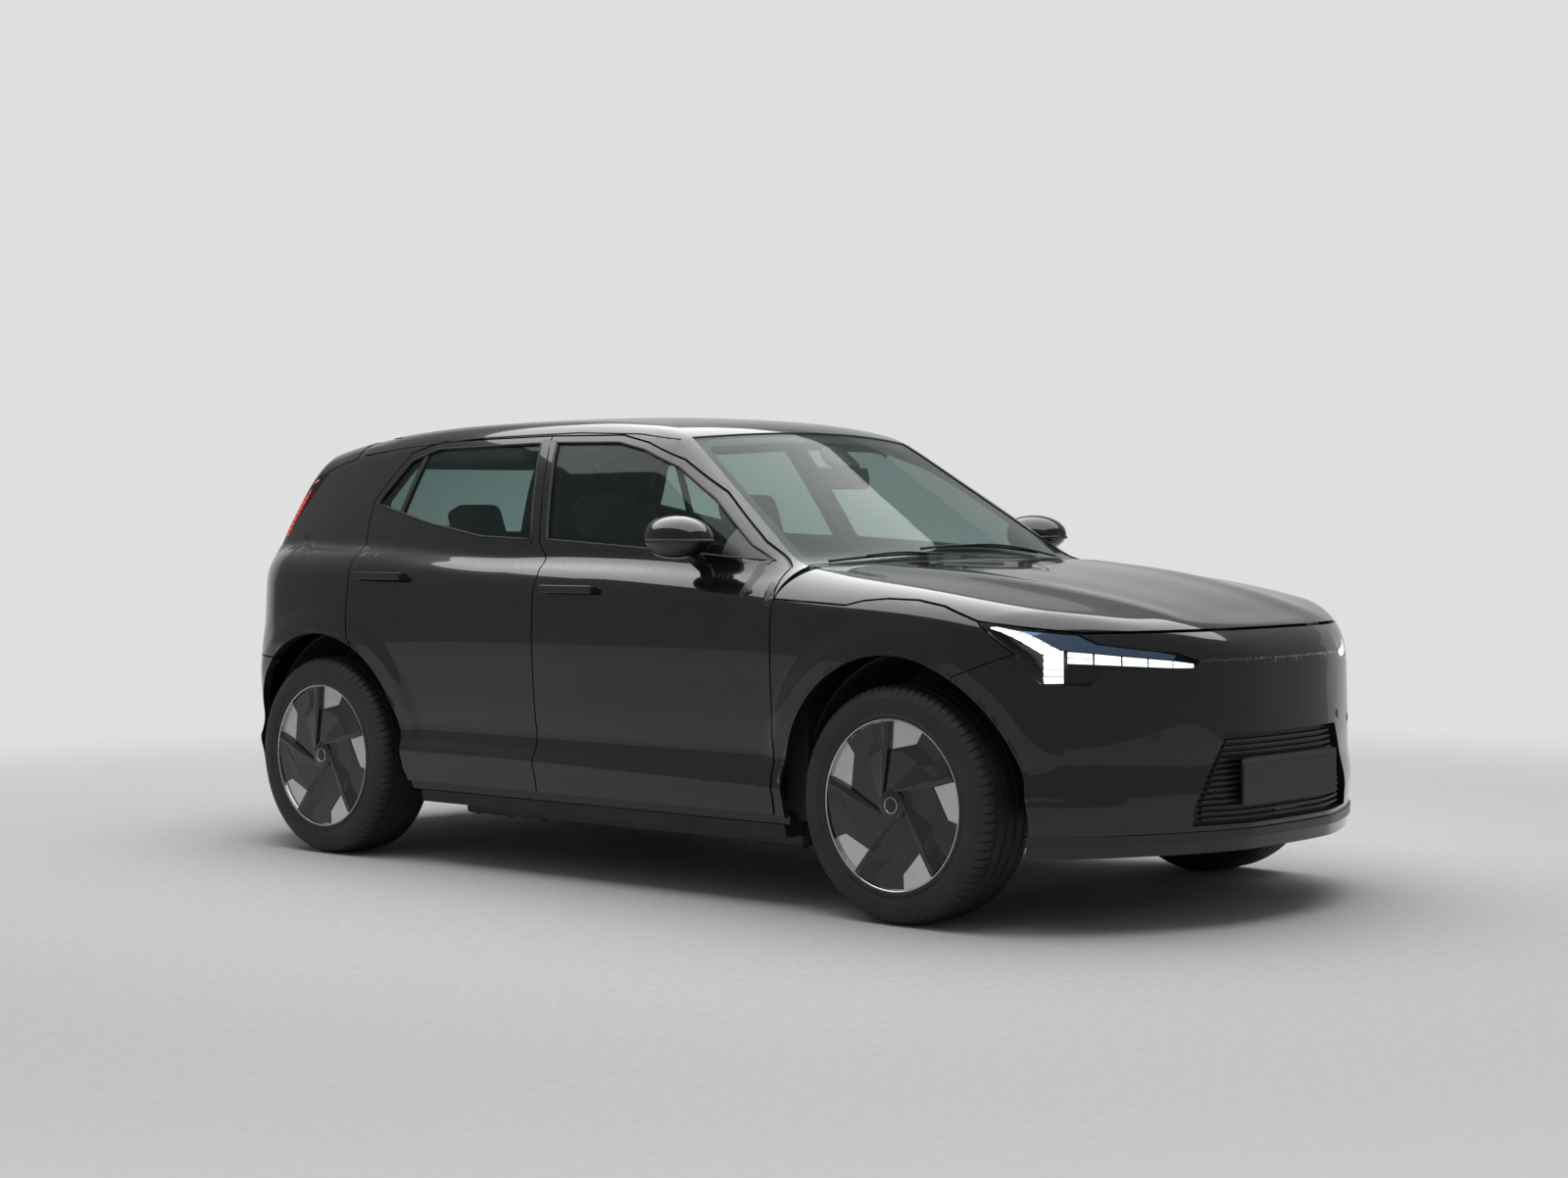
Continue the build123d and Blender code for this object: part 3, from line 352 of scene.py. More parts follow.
RED_SHEET = paint("red_reflector", (0.16, 0.006, 0.008), 0.2)
MIRROR = metal("mirror_glass", (0.8, 0.82, 0.84), 0.03, 20)
FABRIC = woven("seat_cloth", (0.050, 0.056, 0.062))
CARPET = woven("floor_carpet", (0.03, 0.03, 0.032), 0.003)
SCREEN = paint("display", (0.012, 0.014, 0.018), 0.1)
PLATE = grained("blank_plate", (0.012, 0.012, 0.012), 0.4, 400, 0.0001)
BATTERY = grained("tray_coating", (0.030, 0.030, 0.031), 0.55, 160, 0.0006)


def give(obj, *materials):
    obj.data.materials.clear()
    for m in materials:
        obj.data.materials.append(m)


# ------------------------------------------------------------------ mesh helpers
def piece(name, verts, faces, material, body_name, smooth=True, indices=None):
    """New mesh piece from points in millimetres, riding on a body."""
    me = bpy.data.meshes.new(name)
    me.from_pydata([tuple(float(c) * MM for c in v) for v in verts], [], [tuple(f) for f in faces])
    me.update()
    o = bpy.data.objects.new(name, me)
    bpy.context.scene.collection.objects.link(o)
    for m in material if isinstance(material, (list, tuple)) else [material]:
        me.materials.append(m)
    if indices is not None:
        for f, k in zip(me.polygons, indices):
            f.material_index = k
    for f in me.polygons:
        f.use_smooth = smooth
    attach(o, body_name)
    return o


def crease_by_angle(obj, degrees=35):
    """Smooth shading that breaks at edges sharper than the angle."""
    bm = bmesh.new()
    bm.from_mesh(obj.data)
    bmesh.ops.recalc_face_normals(bm, faces=bm.faces)
    limit = math.radians(degrees)
    for e in bm.edges:
        e.smooth = not (len(e.link_faces) == 2 and e.calc_face_angle(0) > limit)
    bm.to_mesh(obj.data)
    bm.free()


def bevelled(obj, width, segments=3, angle=30):
    b = obj.modifiers.new("bevel", "BEVEL")
    b.width = width * MM
    b.segments = segments
    b.limit_method = "ANGLE"
    b.angle_limit = math.radians(angle)
    b.harden_normals = True
    for f in obj.data.polygons:
        f.use_smooth = True
    return obj


def prism(name, outline, lo, hi, axis, material, body_name, bevel=0.0, smooth=False):
    """Straight prism of an outline along axis 0, 1 or 2 from lo to hi (millimetres)."""
    n = len(outline)

    def at(p, h):
        q = [p[0], p[1]]
        q.insert(axis, h)
        return q
    verts = [at(p, lo) for p in outline] + [at(p, hi) for p in outline]
    faces = [list(range(n))[::-1], list(range(n, 2 * n))]
    faces += [[i, (i + 1) % n, n + (i + 1) % n, n + i] for i in range(n)]
    o = piece(name, verts, faces, material, body_name, smooth)
    crease_by_angle(o, 30)
    if bevel:
        bevelled(o, bevel)
    return o


def rows_to_faces(rows, cols, wrap_rows=False, wrap_cols=False):
    """Quads of a grid of points stored row by row."""
    faces = []
    for i in range(rows if wrap_rows else rows - 1):
        for j in range(cols if wrap_cols else cols - 1):
            a, b = i * cols + j, i * cols + (j + 1) % cols
            c, d = (i + 1) % rows * cols + (j + 1) % cols, (i + 1) % rows * cols + j
            faces.append((a, b, c, d))
    return faces


def lathe(name, profile, centre, side, material, body_name, steps=96, sharp=30):
    """Surface of revolution about Y; profile is (outward y, radius) pairs."""
    verts = []
    for k in range(steps):
        a = 2 * math.pi * k / steps
        for y, r in profile:
            verts.append((centre[0] + r * math.sin(a), centre[1] + side * y,
                          centre[2] + r * math.cos(a)))
    o = piece(name, verts, rows_to_faces(steps, len(profile), wrap_rows=True), material,
              body_name)
    crease_by_angle(o, sharp)
    return o


def tube_along(name, path, radius, material, body_name, sides=8, closed=False,
               flat=1.0):
    """Round or flattened bar along a path in millimetres."""
    path = [Vector(p) for p in path]
    n = len(path)
    verts = []
    for i, p in enumerate(path):
        if closed:
            t = path[(i + 1) % n] - path[i - 1]
        else:
            t = path[min(i + 1, n - 1)] - path[max(i - 1, 0)]
        t.normalize()
        u = t.cross(Vector((0, 0, 1)))
        if u.length < 0.1:
            u = t.cross(Vector((1, 0, 0)))
        u.normalize()
        w = u.cross(t)
        for k in range(sides):
            a = 2 * math.pi * k / sides
            verts.append(p + u * radius * math.cos(a) + w * radius * flat * math.sin(a))
    faces = rows_to_faces(n, sides, wrap_rows=closed, wrap_cols=True)
    if not closed:
        faces += [list(range(sides))[::-1], list(range((n - 1) * sides, n * sides))]
    return piece(name, verts, faces, material, body_name)


def rounded_box(u0, u1, v0, v1, radius, steps=5):
    points = []
    for cu, cv, start in ((u1 - radius, v1 - radius, 0), (u0 + radius, v1 - radius, 90),
                          (u0 + radius, v0 + radius, 180), (u1 - radius, v0 + radius, 270)):
        for k in range(steps + 1):
            a = math.radians(start + 90 * k / steps)
            points.append((cu + radius * math.cos(a), cv + radius * math.sin(a)))
    return points


def mirror_y(points):
    return [(x, -y, z) for x, y, z in points]


# ------------------------------------------------------------------ points on the skin
NOSE_CENTRE, TAIL_CENTRE = 1250.0, -1200.0


def nose_at(q):
    """Skin points and normals around the front, in the direction of points (x, y, z)."""
    a = np.arctan2(q[:, 1], q[:, 0] - NOSE_CENTRE)
    flat = 0 * a
    p = cast(np.stack([flat + NOSE_CENTRE, flat, q[:, 2]], 1),
             np.stack([np.cos(a), np.sin(a), flat], 1))
    return p, gradient(p)


def side_at(q):
    """Skin points and normals of the right-hand side at (x, z)."""
    p = cast(np.stack([q[:, 0], 0 * q[:, 0], q[:, 1]], 1), np.array([0.0, -1.0, 0.0]))
    return p, gradient(p)


def deck_at(q):
    """Skin points and normals above (x, y)."""
    p = cast(np.stack([q[:, 0], q[:, 1], 0 * q[:, 0] + 700], 1), np.array([0, 0, 1.0]))
    return p, gradient(p)


def tail_at(q):
    """Skin points and normals of the rear at (y, z)."""
    flat = 0 * q[:, 0]
    origin = np.stack([flat + TAIL_CENTRE, flat, q[:, 1]], 1)
    aim = np.stack([flat - 850, q[:, 0], flat], 1)
    for _ in range(6):
        p = cast(origin, aim / np.linalg.norm(aim, axis=1, keepdims=True))
        aim = p - origin
        aim[:, 1] = q[:, 0]
    return p, gradient(p)


def laid(locate, points, out=0.0):
    """Points of the skin, moved outward, from the coordinates that locate takes."""
    p, g = locate(np.array(points, float))
    return p + np.reshape(out, (-1, 1)) * g


def slab_on(locate, corners, out, deep, rows=3, cols=4):
    """Points and faces of a small slab that follows the skin between four corners.

    out and deep are the heights of its front and back over the skin.
    """
    a, b, c, d = [np.array(q, float) for q in corners]
    s, t = np.meshgrid(np.linspace(0, 1, rows), np.linspace(0, 1, cols), indexing="ij")
    s, t = s.reshape(-1, 1), t.reshape(-1, 1)
    p, g = locate((a * (1 - t) + b * t) * (1 - s) + (d * (1 - t) + c * t) * s)
    n = rows * cols
    front = rows_to_faces(rows, cols)
    rim = ([j for j in range(cols)] + [i * cols + cols - 1 for i in range(1, rows)]
           + [(rows - 1) * cols + j for j in range(cols - 2, -1, -1)]
           + [i * cols for i in range(rows - 2, 0, -1)])
    faces = front + [tuple(n + k for k in f[::-1]) for f in front]
    faces += [(rim[k], rim[k - 1], n + rim[k - 1], n + rim[k]) for k in range(len(rim))]
    return list(np.vstack([p + out * g, p + deep * g])), faces


def gathered(name, parts, material, body_name, sharp=35):
    """One mesh piece of many (points, faces) parts."""
    verts, faces = [], []
    for v, f in parts:
        faces += [tuple(len(verts) + k for k in face) for face in f]
        verts += list(v)
    o = piece(name, verts, faces, material, body_name)
    crease_by_angle(o, sharp)
    return o


def both_sides(parts):
    """The parts and their mirror images."""
    return parts + [(mirror_y(v), [f[::-1] for f in faces]) for v, faces in parts]


def knob(locate, place, rings, sides=20):
    """Small round part on the skin; rings are (height, radius) pairs."""
    p, g = locate(np.array([place], float))
    centre, out = p[0], g[0]
    u = np.cross(out, (0, 0, 1.0))
    u /= np.linalg.norm(u)
    w = np.cross(u, out)
    verts = [centre + out * h + u * r * math.cos(a) + w * r * math.sin(a) for h, r in rings
             for a in np.linspace(0, 2 * math.pi, sides, endpoint=False)]
    return verts, rows_to_faces(len(rings), sides, wrap_cols=True)


SENSOR = ((-4, 14), (0.8, 14), (1.4, 12.8), (0.7, 12.2), (0.7, 11.4), (1.5, 10.8), (1.5, 0.1))


# ------------------------------------------------------------------ painted panels
BAND_X = (-2100, -930, -240, 824, 930, 1703, 2100)
BAND_LOW = (400, 412, 396, 370, 371, 369, 366)
BAND_HIGH = (428, 441, 425, 399, 394, 391, 388)


def flare(x, z, axle, height):
    """How far the skin stands out around one wheel arch."""
    far = np.hypot(x - axle, z - TYRE_RADIUS)
    turn = np.degrees(np.arctan2(x - axle, z - TYRE_RADIUS))
    fade = 1 - ramp(np.abs(turn), 62, 92)
    lip = 3.0 * (1 - ramp(far, ARCH_RADIUS + 8, ARCH_RADIUS + 12))
    return height * fade * (1 - ramp(far, ARCH_RADIUS + 48, ARCH_RADIUS + 110)) + lip


SHIELD_TOP = 775.0


def brow(x, y, z):
    """Ledge over the smooth panel between the lamps."""
    front = ramp(x, 1960, 2020) * (1 - ramp(np.abs(y), 350, 420))
    return 5.0 * front * ramp(z, SHIELD_TOP - 3, SHIELD_TOP) * (1 - ramp(z, SHIELD_TOP + 5, 856))


def bonnet_form(x, y, z):
    """Raised ridges along the bonnet and the shallow hollow between them."""
    top = ramp(z, 850, 880) * ramp(x, 890, 1010) * (1 - ramp(x, 1860, 2040))
    ridge = np.interp(x, (900, 1400, 2000), (590, 480, 350))
    a = np.abs(y)
    return top * (9.0 * np.exp(-((a - ridge) / 80) ** 2) - 5.0 * np.exp(-(a / 200) ** 2))


def relief_out(x, y, z):
    """How far the finer forms of the panels stand out of the skin's curves."""
    side = ramp(np.abs(y), 560, 700)
    low, high = np.interp(x, BAND_X, BAND_LOW), np.interp(x, BAND_X, BAND_HIGH)
    sill = 8.0 * np.clip((high - z) / (high - low), 0, 1) * ramp(z, 180, 280)
    arches = np.maximum(flare(x, z, FRONT_AXLE, 9.0), flare(x, z, REAR_AXLE, 6.0))
    return side * np.maximum(sill, arches) + brow(x, y, z) + bonnet_form(x, y, z)


def detailed(x, y, z):
    """The skin with the finer forms of its panels."""
    return body(x, y, z) - relief_out(x, y, z)


def edge_limit(p):
    """Longest edge allowed at each place of the skin."""
    x, y, z = p.T
    limit = np.full(len(p), 34.0)
    out = np.abs(y) > 560
    for axle in (FRONT_AXLE, REAR_AXLE):
        far = np.hypot(x - axle, z - TYRE_RADIUS)
        limit[out & (far < ARCH_RADIUS + 125)] = 16
        limit[out & (far < ARCH_RADIUS + 20)] = 9
    low, high = np.interp(x, BAND_X, BAND_LOW), np.interp(x, BAND_X, BAND_HIGH)
    limit[out & (z > low - 12) & (z < high + 12)] = 10
    limit[(x > 1400) & (z > 780)] = np.minimum(limit[(x > 1400) & (z > 780)], 20)
    ledge = (x > 1950) & (np.abs(z - SHIELD_TOP) < 10)
    limit[ledge] = 8
    return limit


def welded(source):
    """Points in millimetres and triangles of a mesh, with coincident points joined."""
    me = source.data
    me.calc_loop_triangles()
    co = np.zeros(len(me.vertices) * 3)
    me.vertices.foreach_get("co", co)
    tri = np.zeros(len(me.loop_triangles) * 3, int)
    me.loop_triangles.foreach_get("vertices", tri)
    p, index = np.unique(np.round(co.reshape(-1, 3) / MM, 2), axis=0, return_inverse=True)
    tri = index.reshape(-1)[tri].reshape(-1, 3)
    whole = (tri[:, 0] != tri[:, 1]) & (tri[:, 1] != tri[:, 2]) & (tri[:, 2] != tri[:, 0])
    return p, tri[whole]


def face_normals(p, tri):
    n = np.cross(p[tri[:, 1]] - p[tri[:, 0]], p[tri[:, 2]] - p[tri[:, 0]])
    return n / np.maximum(np.linalg.norm(n, axis=1, keepdims=True), 1e-9)


def split_long(p, tri, skin):
    """One round of halving the skin's edges that are longer than allowed."""
    pairs = np.sort(np.concatenate([tri[:, [0, 1]], tri[:, [1, 2]], tri[:, [2, 0]]]), axis=1)
    edges, back = np.unique(pairs, axis=0, return_inverse=True)
    back = back.reshape(3, -1).T
    on_skin = np.zeros(len(edges), bool)
    on_skin[back[skin]] = True
    middle = (p[edges[:, 0]] + p[edges[:, 1]]) / 2
    cut = on_skin & (np.linalg.norm(p[edges[:, 0]] - p[edges[:, 1]], axis=1) > edge_limit(middle))
    number = np.full(len(edges), -1)
    number[cut] = len(p) + np.arange(cut.sum())
    p = np.vstack([p, lay(middle[cut], body)])
    half = number[back]
    count = (half >= 0).sum(1)
    faces, flags = [tri[count == 0]], [skin[count == 0]]

    def put(rows, *corners):
        faces.append(np.stack(corners, axis=1))
        flags.append(skin[rows])
    k = count == 3
    (a, b, c), (x, y, z) = tri[k].T, half[k].T
    for corners in ((a, x, z), (x, b, y), (z, y, c), (x, y, z)):
        put(k, *corners)
    for r in range(3):
        k = (count == 1) & (half[:, r] >= 0)
        a, b, c = np.roll(tri[k], -r, axis=1).T
        x = half[k, r]
        put(k, a, x, c)
        put(k, x, b, c)
        k = (count == 2) & (half[:, (r + 2) % 3] < 0)
        a, b, c = np.roll(tri[k], -r, axis=1).T
        x, y, z = np.roll(half[k], -r, axis=1).T
        put(k, x, b, y)
        put(k, a, x, y)
        put(k, a, y, c)
    return p, np.concatenate(faces), np.concatenate(flags), int(cut.sum())


def lay(start, level):
    """Points moved along the gradient onto a level surface; those that stray stay put."""
    p, step = start.copy(), 0.4
    for _ in range(4):
        if not len(p):
            break
        g = np.empty_like(p)
        for k in range(3):
            e = np.zeros(3)
            e[k] = step
            g[:, k] = (level(*(p + e).T) - level(*(p - e).T)) / (2 * step)
        move = (level(*p.T) / np.maximum((g ** 2).sum(1), 0.25))[:, None] * g
        far = np.linalg.norm(move, axis=1, keepdims=True)
        p = p - move * np.minimum(1, 8 / np.maximum(far, 1e-9))
    stray = np.linalg.norm(p - start, axis=1) > 16
    p[stray] = start[stray]
    return p


LAMP_REACH = 4.0  # a lamp cover's faces lie up to this far, in millimetres, off the skin


def skinned(node, near=1.3):
    """A panel's points and faces, its outer faces refined and laid on the skin.

    Corners on the skin take their normals from its gradient, so reflections run clean;
    other faces keep their own.
    """
    p, tri = welded(nodes[node])
    skin = (np.abs(body(*p.T)) < near)[tri].all(1)
    g = gradient(p)
    skin &= (g[tri].mean(1) * face_normals(p, tri)).sum(1) > 0.8
    for _ in range(9):
        p, tri, skin, cuts = split_long(p, tri, skin)
        if not cuts:
            break
    on_skin = np.unique(tri[skin])
    p[on_skin] = lay(p[on_skin], detailed)
    corners = np.repeat(face_normals(p, tri)[:, None], 3, axis=1)
    corners[skin] = gradient(p, detailed, 1.5)[tri[skin]]
    return p, tri, skin, corners


def panel(node, shape, body_name, materials, choose, flip=False):
    """Object that stands in for a panel, from skinned() points; flip mirrors it."""
    p, tri, skin, corners = shape
    if flip:
        p, tri, corners = p * (1, -1, 1), tri[:, ::-1], corners[:, ::-1] * (1, -1, 1)
    me = bpy.data.meshes.new(node + "_skin")
    me.from_pydata(p * MM, [], tri.tolist())
    for m in materials:
        me.materials.append(m)
    me.polygons.foreach_set("use_smooth", np.ones(len(tri), bool))
    me.polygons.foreach_set("material_index", choose(p[tri].mean(1), skin).astype(int))
    me.normals_split_custom_set(corners.reshape(-1, 3))
    o = bpy.data.objects.new(node + "_skin", me)
    bpy.context.scene.collection.objects.link(o)
    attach(o, body_name)
    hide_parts(node)
    return o


def painted_or_hidden(centre, skin):
    """Paint outside, satin black on edges and inner faces."""
    return np.where(skin, 0, 1)


def lamp_or_cover(centre, skin):
    """Red lens below the spoiler's sides, gloss black on them, satin black inside."""
    return np.where(skin, np.where(centre[:, 2] > 1362, 1, 0), 2)


PANEL_KINDS = [PAINT, SATIN]
for node, carrier in (("roof_frame", "root"), ("bonnet", "bonnet"), ("tailgate", "tailgate"),
                      ("front_bumper", "root"), ("rear_bumper", "root")):
    panel(node, skinned(node), carrier, PANEL_KINDS, painted_or_hidden)
for kind, moves in (("body_side", False), ("fender", False), ("front_door", True),
                    ("rear_door", True)):
    shape = skinned(kind + "_right")
    for side, sign in SIDES:
        carrier = f"{kind}_{side}" if moves else "root"
        panel(f"{kind}_{side}", shape, carrier, PANEL_KINDS, painted_or_hidden, sign > 0)

for side, _ in SIDES:
    give(nodes["front_door_glass_" + side], GLASS)
    give(nodes["rear_door_glass_" + side], REAR_GLASS)
    give(nodes["mirror_" + side], GLOSS)
    give(nodes["knuckle_front_" + side], ALLOY)
    for axle in ("front", "rear"):
        give(nodes[f"tyre_{axle}_{side}"], TYRE)
        give(nodes[f"rim_{axle}_{side}"], WHEEL_DARK)
panel("tail_lamps", skinned("tail_lamps", LAMP_REACH), "root", [RED_LENS, GLOSS, SATIN],
      lamp_or_cover)
for node, look in (("windscreen", GLASS), ("tailgate_glass", REAR_GLASS),
                   ("front_grille", TRIM), ("rear_frame", SATIN), ("floor_pan", UNDER),
                   ("battery_pack", BATTERY), ("front_subframe", UNDER),
                   ("rear_subframe", UNDER), ("cowl_panel", TRIM),
                   ("drive_unit", BATTERY), ("front_seats", FABRIC), ("rear_seat", FABRIC),
                   ("dashboard", SOFT), ("steering_wheel", SOFT)):
    if node in nodes:
        give(nodes[node], look)


# ------------------------------------------------------------------ lamps and front end
BAR_STATIONS = [(1826, -742, 807, 775), (1873, -677, 800, 771), (1922, -608, 791, 766),
                (1964, -538, 783, 761), (2000, -465, 775, 756), (2027, -398, 765, 755)]
STACK_LEVELS = [(810, 799), (797, 780), (778, 759), (757, 739), (737, 718)]
FAN_STATIONS = [((1636, -857, 880), (1652, -848, 880)), ((1668, -846, 869), (1684, -830, 873)),
                ((1700, -834, 854), (1717, -812, 865)), ((1724, -823, 840), (1746, -795, 852)),
                ((1746, -811, 825), (1770, -781, 838)), ((1762, -801, 813), (1790, -769, 824)),
                ((1775, -790, 803), (1808, -752, 812))]
LIGHT_OUT, LIGHT_BACK = -4.0, -12.0


def running_lights():
    parts = []
    for high, low in STACK_LEVELS:
        parts.append(slab_on(nose_at, [(1779, -789, high), (1818, -747, high), (1822, -752, low),
                            (1785, -793, low)], LIGHT_OUT, LIGHT_BACK))
    gap = 0.05
    for (x0, y0, t0, b0), (x1, y1, t1, b1) in zip(BAR_STATIONS, BAR_STATIONS[1:]):
        ends = []
        for s in (gap, 1 - gap):
            ends.append((x0 + (x1 - x0) * s, y0 + (y1 - y0) * s, t0 + (t1 - t0) * s,
                         b0 + (b1 - b0) * s))
        for upper, lower in ((0.0, 0.44), (0.54, 1.0)):
            quad = []
            for (x, y, t, b), share in zip((ends[0], ends[1], ends[1], ends[0]),
                                           (upper, upper, lower, lower)):
                quad.append((x, y, t + (b - t) * share))
            parts.append(slab_on(nose_at, quad, LIGHT_OUT, LIGHT_BACK))
    for (l0, r0), (l1, r1) in zip(FAN_STATIONS, FAN_STATIONS[1:]):
        l0, r0, l1, r1 = (np.array(q, float) for q in (l0, r0, l1, r1))
        cut = 0.16
        quad = [l0 + (l1 - l0) * cut, r0 + (r1 - r0) * cut, r1, l1]
        parts.append(slab_on(nose_at, quad, LIGHT_OUT, LIGHT_BACK, 3, 3))
    return parts


def lamp_sheets():
    """Reflecting sheets in the upper part of the lamp."""
    low = [(1700, -826, 862), (1740, -797, 851), (1790, -765, 822), (1826, -738, 811),
           (1873, -673, 804), (1922, -604, 795), (1964, -534, 787), (2000, -461, 779)]
    high = [(1712, -812, 868), (1765, -765, 863), (1812, -712, 858), (1838, -683, 852),
            (1880, -650, 828), (1925, -585, 818), (1966, -518, 805), (2000, -452, 792)]
    return [slab_on(nose_at, [h0, h1, l1, l0], -7.0, -14.0, 3, 3)
            for h0, h1, l0, l1 in zip(high, high[1:], low, low[1:])]


def lamp_brow():
    """Dark plate under the light bar, with its turned-up corner."""
    low = [(1829, -752, 722), (1858, -718, 717), (1880, -690, 719), (1894, -668, 738),
           (1901, -655, 754), (1960, -560, 752), (2010, -448, 750)]
    high = [(1829, -745, 772), (1858, -706, 770), (1880, -675, 768), (1894, -655, 767),
            (1910, -632, 765), (1962, -545, 759), (2010, -440, 754)]
    return [slab_on(nose_at, [h0, h1, l1, l0], -2.0, -9.0, 3, 3)
            for h0, h1, l0, l1 in zip(high, high[1:], low, low[1:])]


LAMP_KINDS = [LENS, SATIN]
lens = panel("headlamps", skinned("headlamps", LAMP_REACH), "root", LAMP_KINDS,
             painted_or_hidden)
lens.name = "lamp_lens"
gathered("running_lights", both_sides(running_lights()), DAYLIGHT, "root")
gathered("lamp_sheets", both_sides(lamp_sheets()), COLD_SHEET, "root")
gathered("lamp_brow", both_sides(lamp_brow()), GLOSS, "root")


def intake():
    """Slats of the lower intake behind its frame, and the radar block."""
    parts = []
    for z in range(318, 556, 17):
        half = 400 if z < 365 else 400 - (z - 365) * 0.6
        verts = []
        for x, y, _ in laid(nose_at, [(2100, half * (j / 6 - 1), z) for j in range(13)]):
            verts += [(x - 29, y, z - 3.5), (x - 17, y, z - 5.5), (x - 17, y, z + 1.5),
                      (x - 29, y, z + 3.5)]
        faces = rows_to_faces(13, 4, wrap_cols=True) + [(3, 2, 1, 0), (48, 49, 50, 51)]
        parts.append((verts, faces))
    gathered("intake_slats", parts, TRIM, "root")
    prism("radar_cover", [(-62, 306), (62, 306), (62, 342), (-62, 342)], 2062, 2082, 0, SATIN,
          "root", bevel=3)


def number_plate():
    """Blank plate on its holder."""
    prism("plate_holder", rounded_box(-262, 262, 352, 488, 10), 2093, 2097, 0, SATIN, "root",
          bevel=1)
    prism("number_plate", rounded_box(-258, 258, 356, 468, 8), 2097.2, 2099.2, 0, PLATE, "root",
          bevel=0.6)


def sensors():
    parts = [knob(nose_at, (2050, y, z), SENSOR)
             for y, z in ((-575, 560), (-330, 585), (330, 585), (575, 560))]
    gathered("parking_sensors", parts, SATIN, "root")


intake()
number_plate()
sensors()


# ------------------------------------------------------------------ side glass and trim
FRONT_GLASS = [(735, 1058), (640, 1106), (430, 1250), (236, 1356), (60, 1416), (-77, 1444),
               (-384, 1450), (-268, 1122), (160, 1096)]
REAR_GLASS_LINE = [(-346, 1122), (-462, 1450), (-1000, 1442), (-1124, 1402), (-1236, 1250),
                   (-910, 1180), (-600, 1132)]


def outline_points(corners, step=40):
    """Points along a closed line."""
    points = []
    for a, b in zip(corners, corners[1:] + corners[:1]):
        count = max(2, int(math.dist(a, b) / step))
        points += [[a[i] + (b[i] - a[i]) * k / count for i in range(2)] for k in range(count)]
    return points


def window_trim():
    front, rear = [laid(side_at, outline_points(line), -1.5)
                   for line in (FRONT_GLASS, REAR_GLASS_LINE)]
    belt = {"front": [(-262, 1112), (160, 1088), (728, 1054)],
            "rear": [(-1240, 1238), (-910, 1168), (-600, 1120), (-340, 1112)]}
    strips = {}
    for key, line in belt.items():
        parts = []
        for (x0, z0), (x1, z1) in zip(line, line[1:]):
            parts.append(slab_on(side_at, [(x0, z0 + 7), (x1, z1 + 7), (x1, z1 - 7), (x0, z0 - 7)],
                                    2.2, -3, 3, 8))
        strips[key] = parts
    sail = slab_on(side_at, [(560, 1162), (722, 1062), (722, 1061), (545, 1073)], -1.2, -6.4, 4, 6)
    pillar = {"front": slab_on(side_at, [(-254, 1112), (-380, 1456), (-422, 1458), (-296, 1114)],
                                  1.2, -2, 8, 3),
              "rear": slab_on(side_at, [(-304, 1116), (-430, 1462), (-458, 1458), (-344, 1122)],
                                 1.2, -2, 8, 3)}
    for side, sign in SIDES:
        turn = mirror_y if sign > 0 else (lambda pts: pts)
        for key, path in (("front", front), ("rear", rear)):
            carrier = f"{key}_door_{side}"
            tube_along(f"{key}_glass_seal_{side}", turn(path), 5.0, RUBBER, carrier, closed=True,
                       sides=6)
            parts = [(turn(v), f) for v, f in strips[key]]
            gathered(f"{key}_belt_strip_{side}", parts, GLOSS, carrier)
            v, f = pillar[key]
            gathered(f"{key}_pillar_cover_{side}", [(turn(v), f)], GLOSS, carrier)
        gathered(f"sail_panel_{side}", [(turn(sail[0]), sail[1])], SATIN, f"front_door_{side}")


# ------------------------------------------------------------------ windscreen, roof, mirrors
SCREEN_TOP, SCREEN_BASE = (236.0, 167.0, 545.0), (966.0, 836.0, 722.0)


def arc_point(spec, s):
    """Point of an arc across the car given by its middle x, side x and half width."""
    middle, side, half = spec
    bow = middle - side
    radius = (half ** 2 + bow ** 2) / (2 * bow)
    y = s * half
    return middle - radius + math.sqrt(radius ** 2 - y ** 2), y


def screen_points(shares, out):
    """Points of the windscreen at (share across -1..1, share down 0..1)."""
    plan = []
    for s, t in shares:
        (x0, y0), (x1, y1) = arc_point(SCREEN_TOP, s), arc_point(SCREEN_BASE, s)
        plan.append((x0 + (x1 - x0) * t, y0 + (y1 - y0) * t))
    return laid(deck_at, plan, out)


def screen_band():
    """Dark border printed on the inside of the windscreen."""
    edge = []
    for s in np.linspace(-1, 1, 25):
        edge.append((s, 0.0, s * 0.93, 0.075))
    for t in np.linspace(0, 1, 19)[1:]:
        edge.append((1.0, t, 0.945, 0.075 + t * (0.93 - 0.075)))
    for s in np.linspace(1, -1, 25)[1:]:
        edge.append((s, 1.0, s * 0.945, 0.93))
    for t in np.linspace(1, 0, 19)[1:-1]:
        edge.append((-1.0, t, -0.945, 0.075 + t * (0.93 - 0.075)))
    shares = [(s0 + (s1 - s0) * w, t0 + (t1 - t0) * w) for s0, t0, s1, t1 in edge
              for w in (0, 0.5, 1)]
    o = piece("screen_band", screen_points(shares, -9.6),
              rows_to_faces(len(edge), 3, wrap_rows=True), SATIN, "root")
    crease_by_angle(o, 60)


